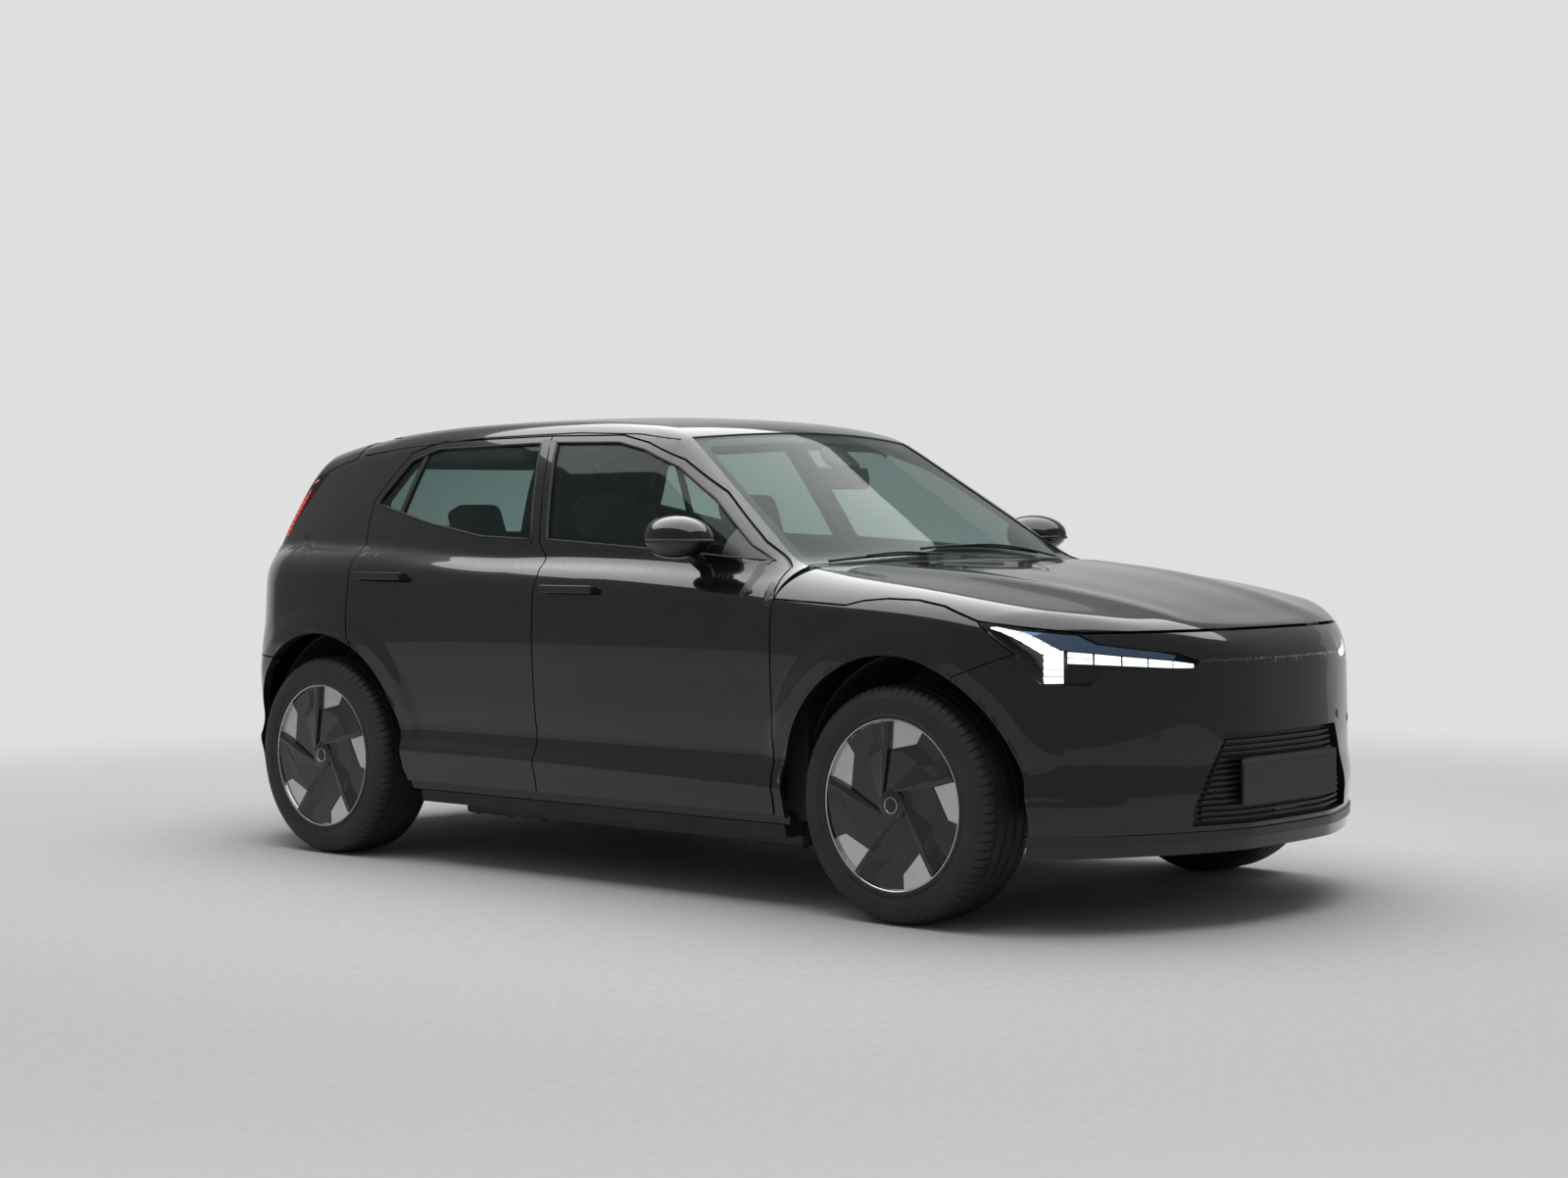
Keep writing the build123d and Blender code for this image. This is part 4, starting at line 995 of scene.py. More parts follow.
def mirror_pod():
    """Camera cover and inside mirror behind the top of the windscreen."""
    base, low = screen_points([(0, 0.10), (0, 0.24)], (-12, -16))
    rings = []
    for t, half, deep in ((0.0, 46, 6), (0.15, 72, 26), (0.45, 76, 40), (0.8, 62, 34),
                          (1.0, 34, 14)):
        middle = base + (low - base) * t
        for a in np.linspace(0, 2 * math.pi, 20, endpoint=False):
            drop = -deep * (1 - math.cos(a)) / 2
            rings.append((middle[0] + drop * 0.55, middle[1] + half * math.sin(a),
                          middle[2] + drop))
    faces = rows_to_faces(5, 20, wrap_cols=True) + [tuple(range(20))[::-1],
                                                    tuple(range(80, 100))]
    o = piece("sensor_pod", rings, faces, SATIN, "root")
    crease_by_angle(o, 50)
    glass = [(-128, -34), (-104, -40), (104, -40), (128, -34), (134, 0), (120, 34), (-120, 34),
             (-134, 0)]
    x, z = float(low[0]) - 60, float(low[2]) - 42
    prism("inside_mirror", [(y, z + h) for y, h in glass], x, x + 18, 0, SATIN, "root", bevel=5)
    prism("inside_mirror_glass", [(y * 0.94, z + h * 0.9) for y, h in glass], x - 1.0, x + 4, 0,
          MIRROR, "root", bevel=0.5)
    tube_along("inside_mirror_stalk", [(x + 12, 0, z + 20), tuple(low + (0, 0, -4))], 9, SATIN,
               "root")


def wipers():
    for k, (pivot, tip) in enumerate((((925, 420), (905, -250)), ((950, -190), (860, -640)))):
        pivot, tip = np.array(pivot), np.array(tip)
        share = np.linspace(0, 1, 18)[:, None]
        plan = np.minimum(pivot + (tip - pivot) * share, (935, 2000))
        lift = 5 + 14 * np.sin(math.pi * np.minimum(share[:, 0] * 1.05, 1))
        tube_along(f"wiper_arm_{k}", laid(deck_at, plan, lift)[:13], 6.0, SATIN, "root", flat=0.6)
        tube_along(f"wiper_blade_{k}", laid(deck_at, plan - (12, 0), 5.5)[2:], 5.0, RUBBER, "root",
                   flat=0.9)


MIRROR_AT, MIRROR_HALF, MIRROR_FACE = (465.0, -922.0, 1131.0), (130.0, 94.0, 68.0), 0.4


def door_mirrors():
    size = math.sqrt(1 - MIRROR_FACE ** 2)
    face_x = MIRROR_AT[0] - MIRROR_FACE * MIRROR_HALF[0]
    for side, sign in SIDES:
        cy = -sign * MIRROR_AT[1]
        ring = [(0.87 * size * MIRROR_HALF[1] * math.cos(a), 0.84 * size * MIRROR_HALF[2]
                 * math.sin(a)) for a in np.linspace(0, 2 * math.pi, 48, endpoint=False)]
        prism(f"mirror_glass_{side}", [(cy + u, MIRROR_AT[2] + v) for u, v in ring],
              face_x - 1.6, face_x + 2, 0, MIRROR, f"front_door_{side}", bevel=0.8)
        rim = [(face_x - 0.4, cy + u * 1.09, MIRROR_AT[2] + v * 1.12) for u, v in ring]
        tube_along(f"mirror_rim_{side}", rim, 3.6, SATIN, f"front_door_{side}", closed=True)
        band = []
        for a in np.linspace(-0.35, math.pi + 0.35, 40):
            x = MIRROR_AT[0] + MIRROR_HALF[0] * math.sin(a) * 1.004
            y = cy + MIRROR_HALF[1] * math.cos(a) * 1.004
            band.append((x, y, MIRROR_AT[2] - 12))
        tube_along(f"mirror_seam_{side}", band, 4.2, SATIN, f"front_door_{side}", flat=1.4)


ROOF_SEAM_X = (-1464, -1200, -800, -300, 0, 160)
ROOF_SEAM_Z = (1428, 1452, 1476, 1482, 1470, 1448)


def roof_trim():
    """Seam between the roof and the side rails."""
    xs = np.linspace(160, -1440, 40)
    seam = laid(side_at, np.stack([xs, np.interp(xs, ROOF_SEAM_X, ROOF_SEAM_Z)], 1), 0.4)
    for side, sign in SIDES:
        tube_along(f"roof_seam_{side}", seam * (1, -sign, 1), 2.4, RUBBER, "root", sides=6)


window_trim()
screen_band()
mirror_pod()
wipers()
door_mirrors()
roof_trim()


# ------------------------------------------------------------------ wheels
RING = 252.0
HALF = TYRE_WIDTH / 2
PLATE_OUT = HALF - 17
# corners of a machined window: share of the ring, and degrees from the top towards the front
RIDGE = [(0.17, -53), (0.645, -4), (0.972, -1.5)]
TRAIL = [(0.17, -125), (0.645, -76), (0.81, -45.8), (0.972, -44.7)]
BLADE_SHARES = (0.17, 0.25, 0.35, 0.45, 0.55, 0.645, 0.70, 0.76, 0.81, 0.85, 0.90, 0.94, 0.972)
BLADE_RISE = ((0.0, 3.0), (0.28, 4.4), (0.56, 6.2), (0.58, 6.6), (0.86, 12.4), (0.90, 14.0),
              (1.0, 12.6))
SHOULDERS = 80
GROOVES = (-64.0, -22.0, 22.0, 64.0)


def hub_of(axle_x, sign):
    return (axle_x, sign * TRACK_HALF, TYRE_RADIUS)


def wheel_place(hub, sign, local):
    """Car point of a wheel point (forward, outward, up)."""
    return (hub[0] + local[0], hub[1] + sign * local[1], hub[2] + local[2])


def polar(share, degrees):
    a = math.radians(degrees)
    return np.array([RING * share * math.sin(a), RING * share * math.cos(a)])


def along_line(line, share):
    """Point of a line of polar corners at a distance from the hub."""
    pts = [polar(*q) for q in line]
    r = RING * share
    for a, b in zip(pts, pts[1:]):
        d = b - a
        k = [d @ d, 2 * a @ d, a @ a - r * r]
        t = (-k[1] + math.sqrt(max(k[1] ** 2 - 4 * k[0] * k[2], 0))) / (2 * k[0])
        if t <= 1.0001:
            return a + d * max(t, 0)
    return pts[-1]


def blade_top(share, across):
    """Place on the blade's face: 0 at its trailing edge, 1 at its ridge."""
    a, b = along_line(TRAIL, share), along_line(RIDGE, share)
    ta, tb = math.atan2(a[0], a[1]), math.atan2(b[0], b[1])
    turn = ta + (tb - ta) * across
    r = RING * share
    return r * math.sin(turn), r * math.cos(turn)


def wheel_blades():
    """The five dark blades as one (points, faces) in wheel coordinates."""
    verts, faces = [], []
    rows, cols = len(BLADE_SHARES), len(BLADE_RISE)
    for k in range(5):
        turn = Matrix.Rotation(math.radians(72 * k), 2)
        start = len(verts)
        for low in (False, True):
            for share in BLADE_SHARES:
                for across, rise in BLADE_RISE:
                    x, z = turn @ Vector(blade_top(share, across))
                    root = min(1.0, 0.55 + share * 0.7)
                    verts.append((x, PLATE_OUT + (-3.0 if low else rise * root), z))
        n = rows * cols
        faces += [tuple(start + i for i in f) for f in rows_to_faces(rows, cols)]
        rim = ([j for j in range(cols)] + [i * cols + cols - 1 for i in range(1, rows)]
               + [(rows - 1) * cols + j for j in range(cols - 2, -1, -1)]
               + [i * cols for i in range(rows - 2, 0, -1)])
        faces += [(start + rim[i], start + rim[i - 1], start + n + rim[i - 1],
                   start + n + rim[i]) for i in range(len(rim))]
    return verts, faces


def blade_ribs():
    """Fine ribs that run along the outer part of each blade."""
    verts, faces = [], []
    for k in range(5):
        turn = Matrix.Rotation(math.radians(72 * k), 2)
        for j in range(9):
            across = 0.61 + 0.026 * j
            rise = np.interp(across, *zip(*BLADE_RISE))
            start = len(verts)
            shares = np.linspace(0.60 + 0.015 * j, 0.955, 9)
            for share in shares:
                for offset, height in ((-0.006, -0.2), (0.0, 0.9), (0.006, -0.2)):
                    x, z = turn @ Vector(blade_top(share, across + offset))
                    verts.append((x, PLATE_OUT + rise + height, z))
            faces += [tuple(start + i for i in f) for f in rows_to_faces(len(shares), 3)]
    return verts, faces


def tyre_profile():
    """Rows of (outward y, radius, class): class 1 takes the shoulder's cross grooves."""
    side = [(HALF - 14, 247.5, 0), (HALF - 6, 251.8, 0), (HALF - 2.4, 254.5, 0),
            (HALF - 0.8, 259, 0), (HALF - 1.0, 263, 0), (HALF - 3.6, 266.5, 0),
            (HALF - 3.0, 274, 0), (HALF - 1.4, 280, 0), (HALF - 0.6, 280.6, 0),
            (HALF - 0.3, 286, 0), (HALF, 293, 0), (HALF - 0.9, 304, 0), (HALF - 2.2, 311, 0),
            (HALF - 1.6, 312, 0), (HALF - 3.0, 318, 0), (HALF - 3.8, 319, 0),
            (HALF - 7, 328, 1), (HALF - 11, 334.5, 1), (HALF - 16, 340, 1),
            (HALF - 23, 344.6, 1), (HALF - 31, 347.6, 1), (HALF - 41, 349.4, 1)]
    tread = []
    for y in GROOVES[::-1]:
        crown = TYRE_RADIUS - 1.6 * (abs(y) / 80) ** 2
        kind = 1 if y == GROOVES[-1] else 0
        after = 1 if y == GROOVES[0] else 0
        tread += [(y + 5, crown, kind), (y + 3.6, crown - 6.5, 0), (y - 3.6, crown - 6.5, 0),
                  (y - 5, crown, after)]
    return side + tread + [(-y, r, kind) for y, r, kind in side[::-1]]


def tyre_mesh():
    """Tyre in wheel coordinates, with its main grooves and shoulder blocks."""
    profile = tyre_profile()
    steps = []
    for k in range(SHOULDERS):
        for share, deep in ((0.0, 0), (0.05, 1), (0.13, 1), (0.18, 0), (0.59, 0)):
            steps.append((2 * math.pi * (k + share) / SHOULDERS, deep))
    verts = []
    for a, deep in steps:
        for y, r, kind in profile:
            cut = 4.2 * deep * kind * min(1.0, max(0.15, (r - 322) / 20))
            lean = 0.012 * (abs(y) - 100) / 25
            q, t = r - cut, a + lean
            verts.append((q * math.sin(t), y, q * math.cos(t)))
    return verts, rows_to_faces(len(steps), len(profile), wrap_rows=True)


BARREL = [(PLATE_OUT, 40), (PLATE_OUT, 0.978 * RING), (PLATE_OUT + 3, 0.981 * RING),
          (HALF - 6.4, 0.984 * RING), (HALF - 5.0, 0.990 * RING), (HALF - 5.0, 0.998 * RING),
          (HALF - 6.2, 1.006 * RING), (HALF - 16, 1.008 * RING), (HALF - 20, 240),
          (HALF - 36, 232), (-HALF + 40, 230), (-HALF + 14, 240), (-HALF + 8, 256),
          (-HALF + 5, 256), (-HALF + 6, 238), (-HALF + 20, 226), (HALF - 44, 222),
          (HALF - 40, 120), (HALF - 62, 86), (HALF - 62, 42)]
HUB_COVER = [(PLATE_OUT + 1, 50), (PLATE_OUT + 7.6, 47.5), (PLATE_OUT + 9.4, 40),
             (PLATE_OUT + 10.4, 27), (PLATE_OUT + 9.0, 25.4), (PLATE_OUT + 9.0, 0.01)]
CAP_RING = [(PLATE_OUT + 9.2, 24.8), (PLATE_OUT + 12.2, 24.0), (PLATE_OUT + 12.4, 22.0),
            (PLATE_OUT + 10.6, 20.8)]
CAP = [(PLATE_OUT + 9.0, 21.2), (PLATE_OUT + 12.0, 20.4), (PLATE_OUT + 12.8, 15),
       (PLATE_OUT + 13.2, 0.01)]
BRAKE = [(HALF - 70, 60), (HALF - 70, 163), (HALF - 68, 165), (HALF - 63.5, 165),
         (HALF - 63.5, 158), (HALF - 61.5, 158), (HALF - 61.5, 165), (HALF - 57, 165),
         (HALF - 55, 163), (HALF - 55, 60)]


def wheel(axle, axle_x, side, sign, shapes):
    hub, carrier = hub_of(axle_x, sign), f"wheel_{axle}_{side}"
    tag = f"{axle}_{side}"
    for name, key, look, sharp in (("tyre", "tyre", TYRE, 28), ("blades", "blades", WHEEL_DARK, 4),
                                   ("blade_ribs", "ribs", WHEEL_DARK, 180)):
        verts, faces = shapes[key]
        o = piece(f"{name}_{tag}_look", [wheel_place(hub, sign, v) for v in verts], faces, look,
                  carrier)
        crease_by_angle(o, sharp)
        if name == "tyre":
            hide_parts(f"tyre_{tag}")
    barrel = lathe(f"barrel_{tag}", BARREL, hub, sign, WHEEL_CUT, carrier, steps=120)
    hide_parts(f"rim_{tag}")
    lathe(f"hub_cover_{tag}", HUB_COVER, hub, sign, WHEEL_DARK, carrier, steps=48)
    lathe(f"cap_ring_{tag}", CAP_RING, hub, sign, WHEEL_CUT, carrier, steps=48)
    lathe(f"cap_{tag}", CAP, hub, sign, SATIN, carrier, steps=48)
    lathe(f"brake_{tag}", BRAKE, hub, sign, DISC_IRON, carrier, steps=64)


wheel_shapes = {"tyre": tyre_mesh(), "blades": wheel_blades(), "ribs": blade_ribs()}
for axle, axle_x in (("front", FRONT_AXLE), ("rear", REAR_AXLE)):
    for side, sign in SIDES:
        wheel(axle, axle_x, side, sign, wheel_shapes)


# ------------------------------------------------------------------ cabin
SEAT_LEAN = math.radians(20)
FLOOR_Z = 292.0


def cushion(name, size, place, lean, body_name, channels=0, crown=0.16, dip=0.0):
    """Upholstered block: a rounded box with a crowned face, its bolsters and sewn channels.

    size is (thick, wide, high) in millimetres, the soft face towards +X before the lean.
    """
    thick, wide, high = size
    bm = bmesh.new()
    bmesh.ops.create_cube(bm, size=1.0)
    bmesh.ops.subdivide_edges(bm, edges=bm.edges[:], cuts=22, use_grid_fill=True)
    me = bpy.data.meshes.new(name)
    bm.to_mesh(me)
    bm.free()
    co = np.zeros(len(me.vertices) * 3)
    me.vertices.foreach_get("co", co)
    p = co.reshape(-1, 3) * 2
    power = 5.0
    norm = (np.abs(p) ** power).sum(1) ** (1 / power)
    p = p / norm[:, None]
    u, v = p[:, 1], p[:, 2]
    front = np.clip(p[:, 0], 0, 1)
    bolster = crown * np.exp(-((np.abs(u) - 0.78) / 0.16) ** 2)
    groove = np.zeros(len(p))
    for k in range(channels):
        at = -0.62 + 1.24 * k / max(channels - 1, 1)
        groove -= 0.055 * np.exp(-((v - at) / 0.022) ** 2) * (np.abs(u) < 0.62)
    groove -= 0.06 * np.exp(-((np.abs(u) - 0.60) / 0.018) ** 2) * (np.abs(v) < 0.86)
    wrinkle = 0.010 * np.sin(u * 31 + 3 * v) * np.sin(v * 17 - 2 * u)
    p[:, 0] += front * (bolster + groove + wrinkle - dip * np.exp(-(u ** 2 + v ** 2) / 0.35))
    p *= (thick / 2, wide / 2, high / 2)
    turn = np.array(Matrix.Rotation(lean, 3, "Y"))
    p = p @ turn.T + place
    me.vertices.foreach_set("co", (p * MM).ravel())
    me.materials.append(FABRIC)
    for f in me.polygons:
        f.use_smooth = True
    o = bpy.data.objects.new(name, me)
    bpy.context.scene.collection.objects.link(o)
    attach(o, body_name)
    return o


def front_seat(side, y):
    """Front seat: cushion, back, head restraint on posts, side shields and runners."""
    base = cushion(f"seat_cushion_{side}", (150, 480, 500), (80, y, FLOOR_Z + 232),
                   -math.pi / 2 + math.radians(8), "root", 4, 0.14)
    foot = np.array((60 - 220, y, FLOOR_Z + 200))

    def up(h, forward=0.0):
        return foot + (-math.sin(SEAT_LEAN) * h + math.cos(SEAT_LEAN) * forward, 0,
                       math.cos(SEAT_LEAN) * h + math.sin(SEAT_LEAN) * forward)
    cushion(f"seat_back_{side}", (118, 475, 640), up(325), -SEAT_LEAN, "root", 5, 0.22)
    cushion(f"head_restraint_{side}", (84, 262, 176), up(742), -SEAT_LEAN, "root")
    for k, dy in enumerate((-55, 55)):
        tube_along(f"restraint_post_{side}_{k}", [tuple(up(600) + (0, dy, 0)),
                                                   tuple(up(700) + (0, dy, 0))], 7, STEEL, "root")
    for k, dy in enumerate((-238, 214)):
        prism(f"seat_shield_{side}_{k}", [(-230, 395), (280, 410), (300, 470), (120, 500),
                                          (-180, 520), (-260, 470)], y + dy, y + dy + 24, 1, SOFT,
              "root", bevel=6)
    for k, dy in enumerate((-190, 150)):
        prism(f"seat_runner_{side}_{k}", [(-200, FLOOR_Z + 2), (280, FLOOR_Z + 2),
                                          (280, FLOOR_Z + 40), (-200, FLOOR_Z + 40)],
              y + dy, y + dy + 40, 1, UNDER, "root", bevel=3)
    return base


def rear_bench():
    lean = math.radians(22)
    for k, y in enumerate((-310, 310)):
        cushion(f"bench_cushion_{k}", (170, 600, 460), (-620, y, FLOOR_Z + 190),
                -math.pi / 2 + math.radians(7), "root", 3, 0.10)
        place = np.array((-800 - math.sin(lean) * 320, y, FLOOR_Z + 245 + math.cos(lean) * 320))
        cushion(f"bench_back_{k}", (120, 596, 640), place, -lean, "root", 4, 0.12)
    for k, y in enumerate((-400, 0, 400)):
        h = 700
        place = (-800 - math.sin(lean) * h, y, FLOOR_Z + 232 + math.cos(lean) * h)
        cushion(f"bench_restraint_{k}", (80, 216, 140), place, -lean, "root")
    prism("bench_base", [(-850, FLOOR_Z + 2), (-440, FLOOR_Z + 2), (-420, FLOOR_Z + 110),
                         (-850, FLOOR_Z + 110)], -610, 610, 1, CARPET, "root", bevel=8)


def rounded_profile(points, radius, steps=4):
    """Closed (x, z) outline with its corners rounded."""
    out = []
    n = len(points)
    for i in range(n):
        a, b, c = (np.array(points[(i + k) % n], float) for k in (-1, 0, 1))
        r = min(radius, np.linalg.norm(a - b) * 0.45, np.linalg.norm(c - b) * 0.45)
        p, q = b + (a - b) / np.linalg.norm(a - b) * r, b + (c - b) / np.linalg.norm(c - b) * r
        for k in range(steps + 1):
            t = k / steps
            out.append(tuple((1 - t) ** 2 * p + 2 * t * (1 - t) * b + t * t * q))
    return out


def dashboard():
    """Soft top, cross beam, screens, vents and the centre console."""
    top = prism("dash_top", rounded_profile([(878, 930), (878, 985), (800, 1008), (570, 984),
                                             (512, 950), (520, 905), (640, 880), (760, 880)], 22),
                -712, 712, 1, SOFT, "root")
    crease_by_angle(top, 30)
    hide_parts("dashboard")
    low = prism("dash_low", rounded_profile([(876, 702), (876, 925), (640, 878), (540, 896),
                                             (566, 846), (650, 806), (702, 702)], 20),
                -708, 708, 1, SATIN, "root")
    crease_by_angle(low, 30)
    prism("dash_beam", rounded_profile([(520, 944), (508, 930), (512, 902), (530, 892)], 6),
          -700, 180, 1, FABRIC, "root")
    for name, y0, y1, z0, z1, x in (("centre_display", -115, 160, 850, 1040, 500),
                                    ("driver_display", 255, 475, 960, 1042, 545)):
        prism(name, rounded_box(y0, y1, z0, z1, 14), x, x + 14, 0, SCREEN, "root", bevel=2)
    for k, y in enumerate((-640, -200, 640)):
        prism(f"vent_{k}", rounded_box(y - 46, y + 46, 912, 938, 8), 503, 512, 0, TRIM, "root",
              bevel=2)
    prism("console_side", rounded_profile([(-250, FLOOR_Z + 2), (760, FLOOR_Z + 2), (760, 500),
                                           (640, 530), (300, 532), (-200, 540), (-250, 520)], 24),
          -104, 104, 1, SOFT, "root")
    cushion("armrest", (54, 200, 330), (-80, 0, 548), -math.pi / 2, "root")
    for k, (x, y) in enumerate(((170, -42), (170, 42))):
        ring = [(x + 34 * math.cos(a), y + 34 * math.sin(a), 534)
                for a in np.linspace(0, 2 * math.pi, 32, endpoint=False)]
        tube_along(f"cup_ring_{k}", ring, 3.5, STEEL, "root", closed=True)
    prism("tray", rounded_box(330, 520, -70, 70, 16), 531, 536, 2, RUBBER, "root", bevel=1.5)
    prism("console_riser", rounded_profile([(640, 500), (766, 500), (766, 760), (700, 800),
                                            (650, 700)], 16), -98, 98, 1, SOFT, "root")


WHEEL_CENTRE, COLUMN_LEAN = np.array((430.0, 365.0, 900.0)), math.radians(22)


def on_column(p):
    """Car point of a steering wheel point (down the column, across, up)."""
    turn = np.array(Matrix.Rotation(COLUMN_LEAN, 3, "Y"))
    return tuple(turn @ np.array(p, float) + WHEEL_CENTRE)


def steering_wheel():
    """Four-cornered rim with padded spokes, a boss and thumb switches."""
    path = []
    for a in np.linspace(0, 2 * math.pi, 96, endpoint=False):
        c, s = math.cos(a), math.sin(a)
        r = (abs(c / 184) ** 3.2 + abs(s / 170) ** 3.2) ** (-1 / 3.2)
        path.append(on_column((0, r * c, r * s)))
    rim = tube_along("steering_rim", path, 14.0, SOFT, "steering_wheel", closed=True, sides=14)
    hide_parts("steering_wheel")
    for k, (y0, y1) in enumerate(((44, 172), (-172, -44))):
        spoke = [(-10, y0, -16), (-10, y1, -13), (-10, y1, 15), (-10, y0, 20)]
        back = [(9, y, z) for _, y, z in spoke]
        verts = [on_column(q) for q in spoke + back]
        faces = [(0, 1, 2, 3), (7, 6, 5, 4)] + [(i, (i + 1) % 4, 4 + (i + 1) % 4, 4 + i)
                                                for i in range(4)]
        o = piece(f"spoke_{k}", verts, faces, SATIN, "steering_wheel")
        bevelled(o, 4)
    boss = []
    for x, grow_by in ((-30, 0.80), (-26, 0.95), (-12, 1.0), (12, 0.92)):
        for a in np.linspace(0, 2 * math.pi, 40, endpoint=False):
            c, s = math.cos(a), math.sin(a)
            r = (abs(c / 66) ** 3 + abs(s / 48) ** 3) ** (-1 / 3) * grow_by
            boss.append(on_column((x, r * c, r * s)))
    faces = rows_to_faces(4, 40, wrap_cols=True) + [tuple(range(40))[::-1],
                                                    tuple(range(120, 160))]
    crease_by_angle(piece("boss", boss, faces, SOFT, "steering_wheel"), 50)
    tube_along("column", [on_column((10, 0, 0)), on_column((128, 0, 0))], 25, SATIN,
               "steering_wheel", sides=24)
    for k, y in enumerate((-118, 118)):
        verts = [on_column((-13, y + u, v)) for u, v in rounded_box(-22, 22, -9, 11, 5, 3)]
        n = len(verts)
        verts += [on_column((-8, y + u, v)) for u, v in rounded_box(-22, 22, -9, 11, 5, 3)]
        faces = [tuple(range(n))[::-1], tuple(range(n, 2 * n))]
        faces += [(i, (i + 1) % n, n + (i + 1) % n, n + i) for i in range(n)]
        crease_by_angle(piece(f"thumb_switch_{k}", verts, faces, GLOSS, "steering_wheel"), 40)


def headlining():
    """Pale lining under the roof, with a rolled edge."""
    xs, ys = np.linspace(-1330, 150, 40), np.linspace(-1, 1, 25)
    x, s = [v.reshape(-1) for v in np.meshgrid(xs, ys, indexing="ij")]
    x = np.minimum(x, 150 - 60 * s * s)
    plan = np.stack([x, s * (540 - 0.05 * np.maximum(-900 - x, 0))], 1)
    p = laid(deck_at, plan)
    p[:, :2] = plan
    p[:, 2] -= 42 + 30 * np.abs(s) ** 6
    o = piece("headlining", p, rows_to_faces(len(xs), len(ys)), LINING, "root")
    s = o.modifiers.new("thick", "SOLIDIFY")
    s.thickness = 8 * MM
    for k, y in enumerate((-330, 330)):
        prism(f"sun_visor_{k}", rounded_box(20, 168, y - 175, y + 175, 20), 1428, 1440, 2,
              LINING, "root", bevel=4)


def door_cards():
    """Arm rests and cloth inserts on the doors' inner trim."""
    for side, sign in SIDES:
        for key, x0, x1, z in (("front", -120, 420, 700), ("rear", -820, -330, 712)):
            carrier = f"{key}_door_{side}"
            depth = 784 if key == "front" else 790
            y0, y1 = sorted((sign * (depth - 56), sign * (depth + 22)))
            prism(f"{key}_arm_rest_{side}", rounded_profile([(x0, z - 26), (x1, z - 40),
                                                             (x1 + 30, z + 6), (x0, z + 12)], 14),
                  y0, y1, 1, SOFT, carrier, bevel=6)
            y2, y3 = sorted((sign * (depth - 8), sign * (depth + 22)))
            prism(f"{key}_card_insert_{side}", rounded_profile([(x0 - 60, z + 60), (x1, z + 60),
                                                                (x1 - 20, z + 260),
                                                                (x0 - 40, z + 280)], 30),
                  y2, y3, 1, FABRIC, carrier, bevel=5)


for side, y in (("right", -365.0), ("left", 365.0)):
    first = front_seat(side, y)
    if side == "right":
        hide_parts("front_seats")
rear_bench()
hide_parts("rear_seat")
dashboard()
steering_wheel()
headlining()
door_cards()


# ------------------------------------------------------------------ rear end
def tail_lights():
    """Lit strips behind the tail lamps' lenses."""
    low = [slab_on(tail_at, [(-758, 1076), (-738, 1076), (-748, 858), (-770, 858)], -3, -9, 8),
           slab_on(tail_at, [(-726, 1050), (-640, 1050), (-640, 860), (-734, 866)], -6, -12)]
    steps = np.linspace(0, 1, 13)
    high = []
    for t0, t1 in zip(steps, steps[1:]):
        y0, z0 = -700 + 62 * t0, 1130 + 236 * t0
        y1, z1 = -700 + 62 * t1, 1130 + 236 * t1
        cut = (z1 - z0) * 0.2
        high.append(slab_on(tail_at, [(y0 + 4, z0 + cut), (y0 + 22, z0 + cut), (y1 + 20, z1),
                                (y1 + 4, z1)], -3, -8, 3, 3))
    gathered("tail_strips", both_sides(low[:1] + high), REDLIGHT, "root")
    gathered("tail_reflectors", both_sides(low[1:]), RED_SHEET, "root")


def tailgate_trim():
    parts = [slab_on(tail_at, [(-250, 905), (250, 905), (250, 770), (-250, 770)], 0.8, -3, 5, 9)]
    gathered("rear_plate_panel", parts, SATIN, "tailgate")
    plate = [slab_on(tail_at, [(-258, 880), (258, 880), (258, 786), (-258, 786)], 4.2, 1.4, 3, 9)]
    gathered("rear_plate", plate, PLATE, "tailgate")
    lamp = [slab_on(tail_at, [(-60, 922), (60, 922), (60, 908), (-60, 908)], 6, -2, 3, 5)]
    gathered("gate_handle", lamp, GLOSS, "tailgate")
    seal = laid(tail_at, outline_points([(-518, 1398), (518, 1398), (558, 1142), (-558, 1142)]),
                -1)
    tube_along("gate_glass_seal", seal, 5.0, RUBBER, "tailgate", closed=True, sides=6)
    arm = laid(tail_at, [(0, 1118), (30, 1132), (120, 1150), (300, 1168), (430, 1178)],
               (6, 16, 13, 9, 6))
    tube_along("rear_wiper", arm, 6.5, SATIN, "tailgate", flat=0.7)
    base = [slab_on(tail_at, [(-30, 1132), (30, 1132), (26, 1104), (-26, 1104)], 14, 0, 3, 3)]
    gathered("rear_wiper_base", base, SATIN, "tailgate")
    stop = [slab_on(tail_at, [(-150, 1452), (150, 1452), (150, 1442), (-150, 1442)],
                    1.0, -3, 3, 7)]
    gathered("high_stop_lamp", stop, RED_SHEET, "tailgate")


def rear_bumper_trim():
    parts = [slab_on(tail_at, [(-600, 470), (600, 470), (560, 300), (-560, 300)], 1.0, -3, 5, 13)]
    gathered("rear_diffuser", parts, SATIN, "root")
    fins = []
    for y in (-330, -110, 110, 330):
        fins.append(slab_on(tail_at, [(y - 5, 380), (y + 5, 380), (y + 7, 300), (y - 7, 300)],
                            13, 0, 3, 3))
    gathered("diffuser_fins", fins, TRIM, "root")
    lamps = [slab_on(tail_at, [(-640, 520), (-520, 520), (-530, 496), (-640, 500)], 1.6, -3, 3, 5)]
    gathered("rear_reflectors", both_sides(lamps), RED_SHEET, "root")
    knobs = [knob(tail_at, (y, 590), SENSOR) for y in (-520, -200, 200, 520)]
    gathered("rear_sensors", knobs, SATIN, "root")


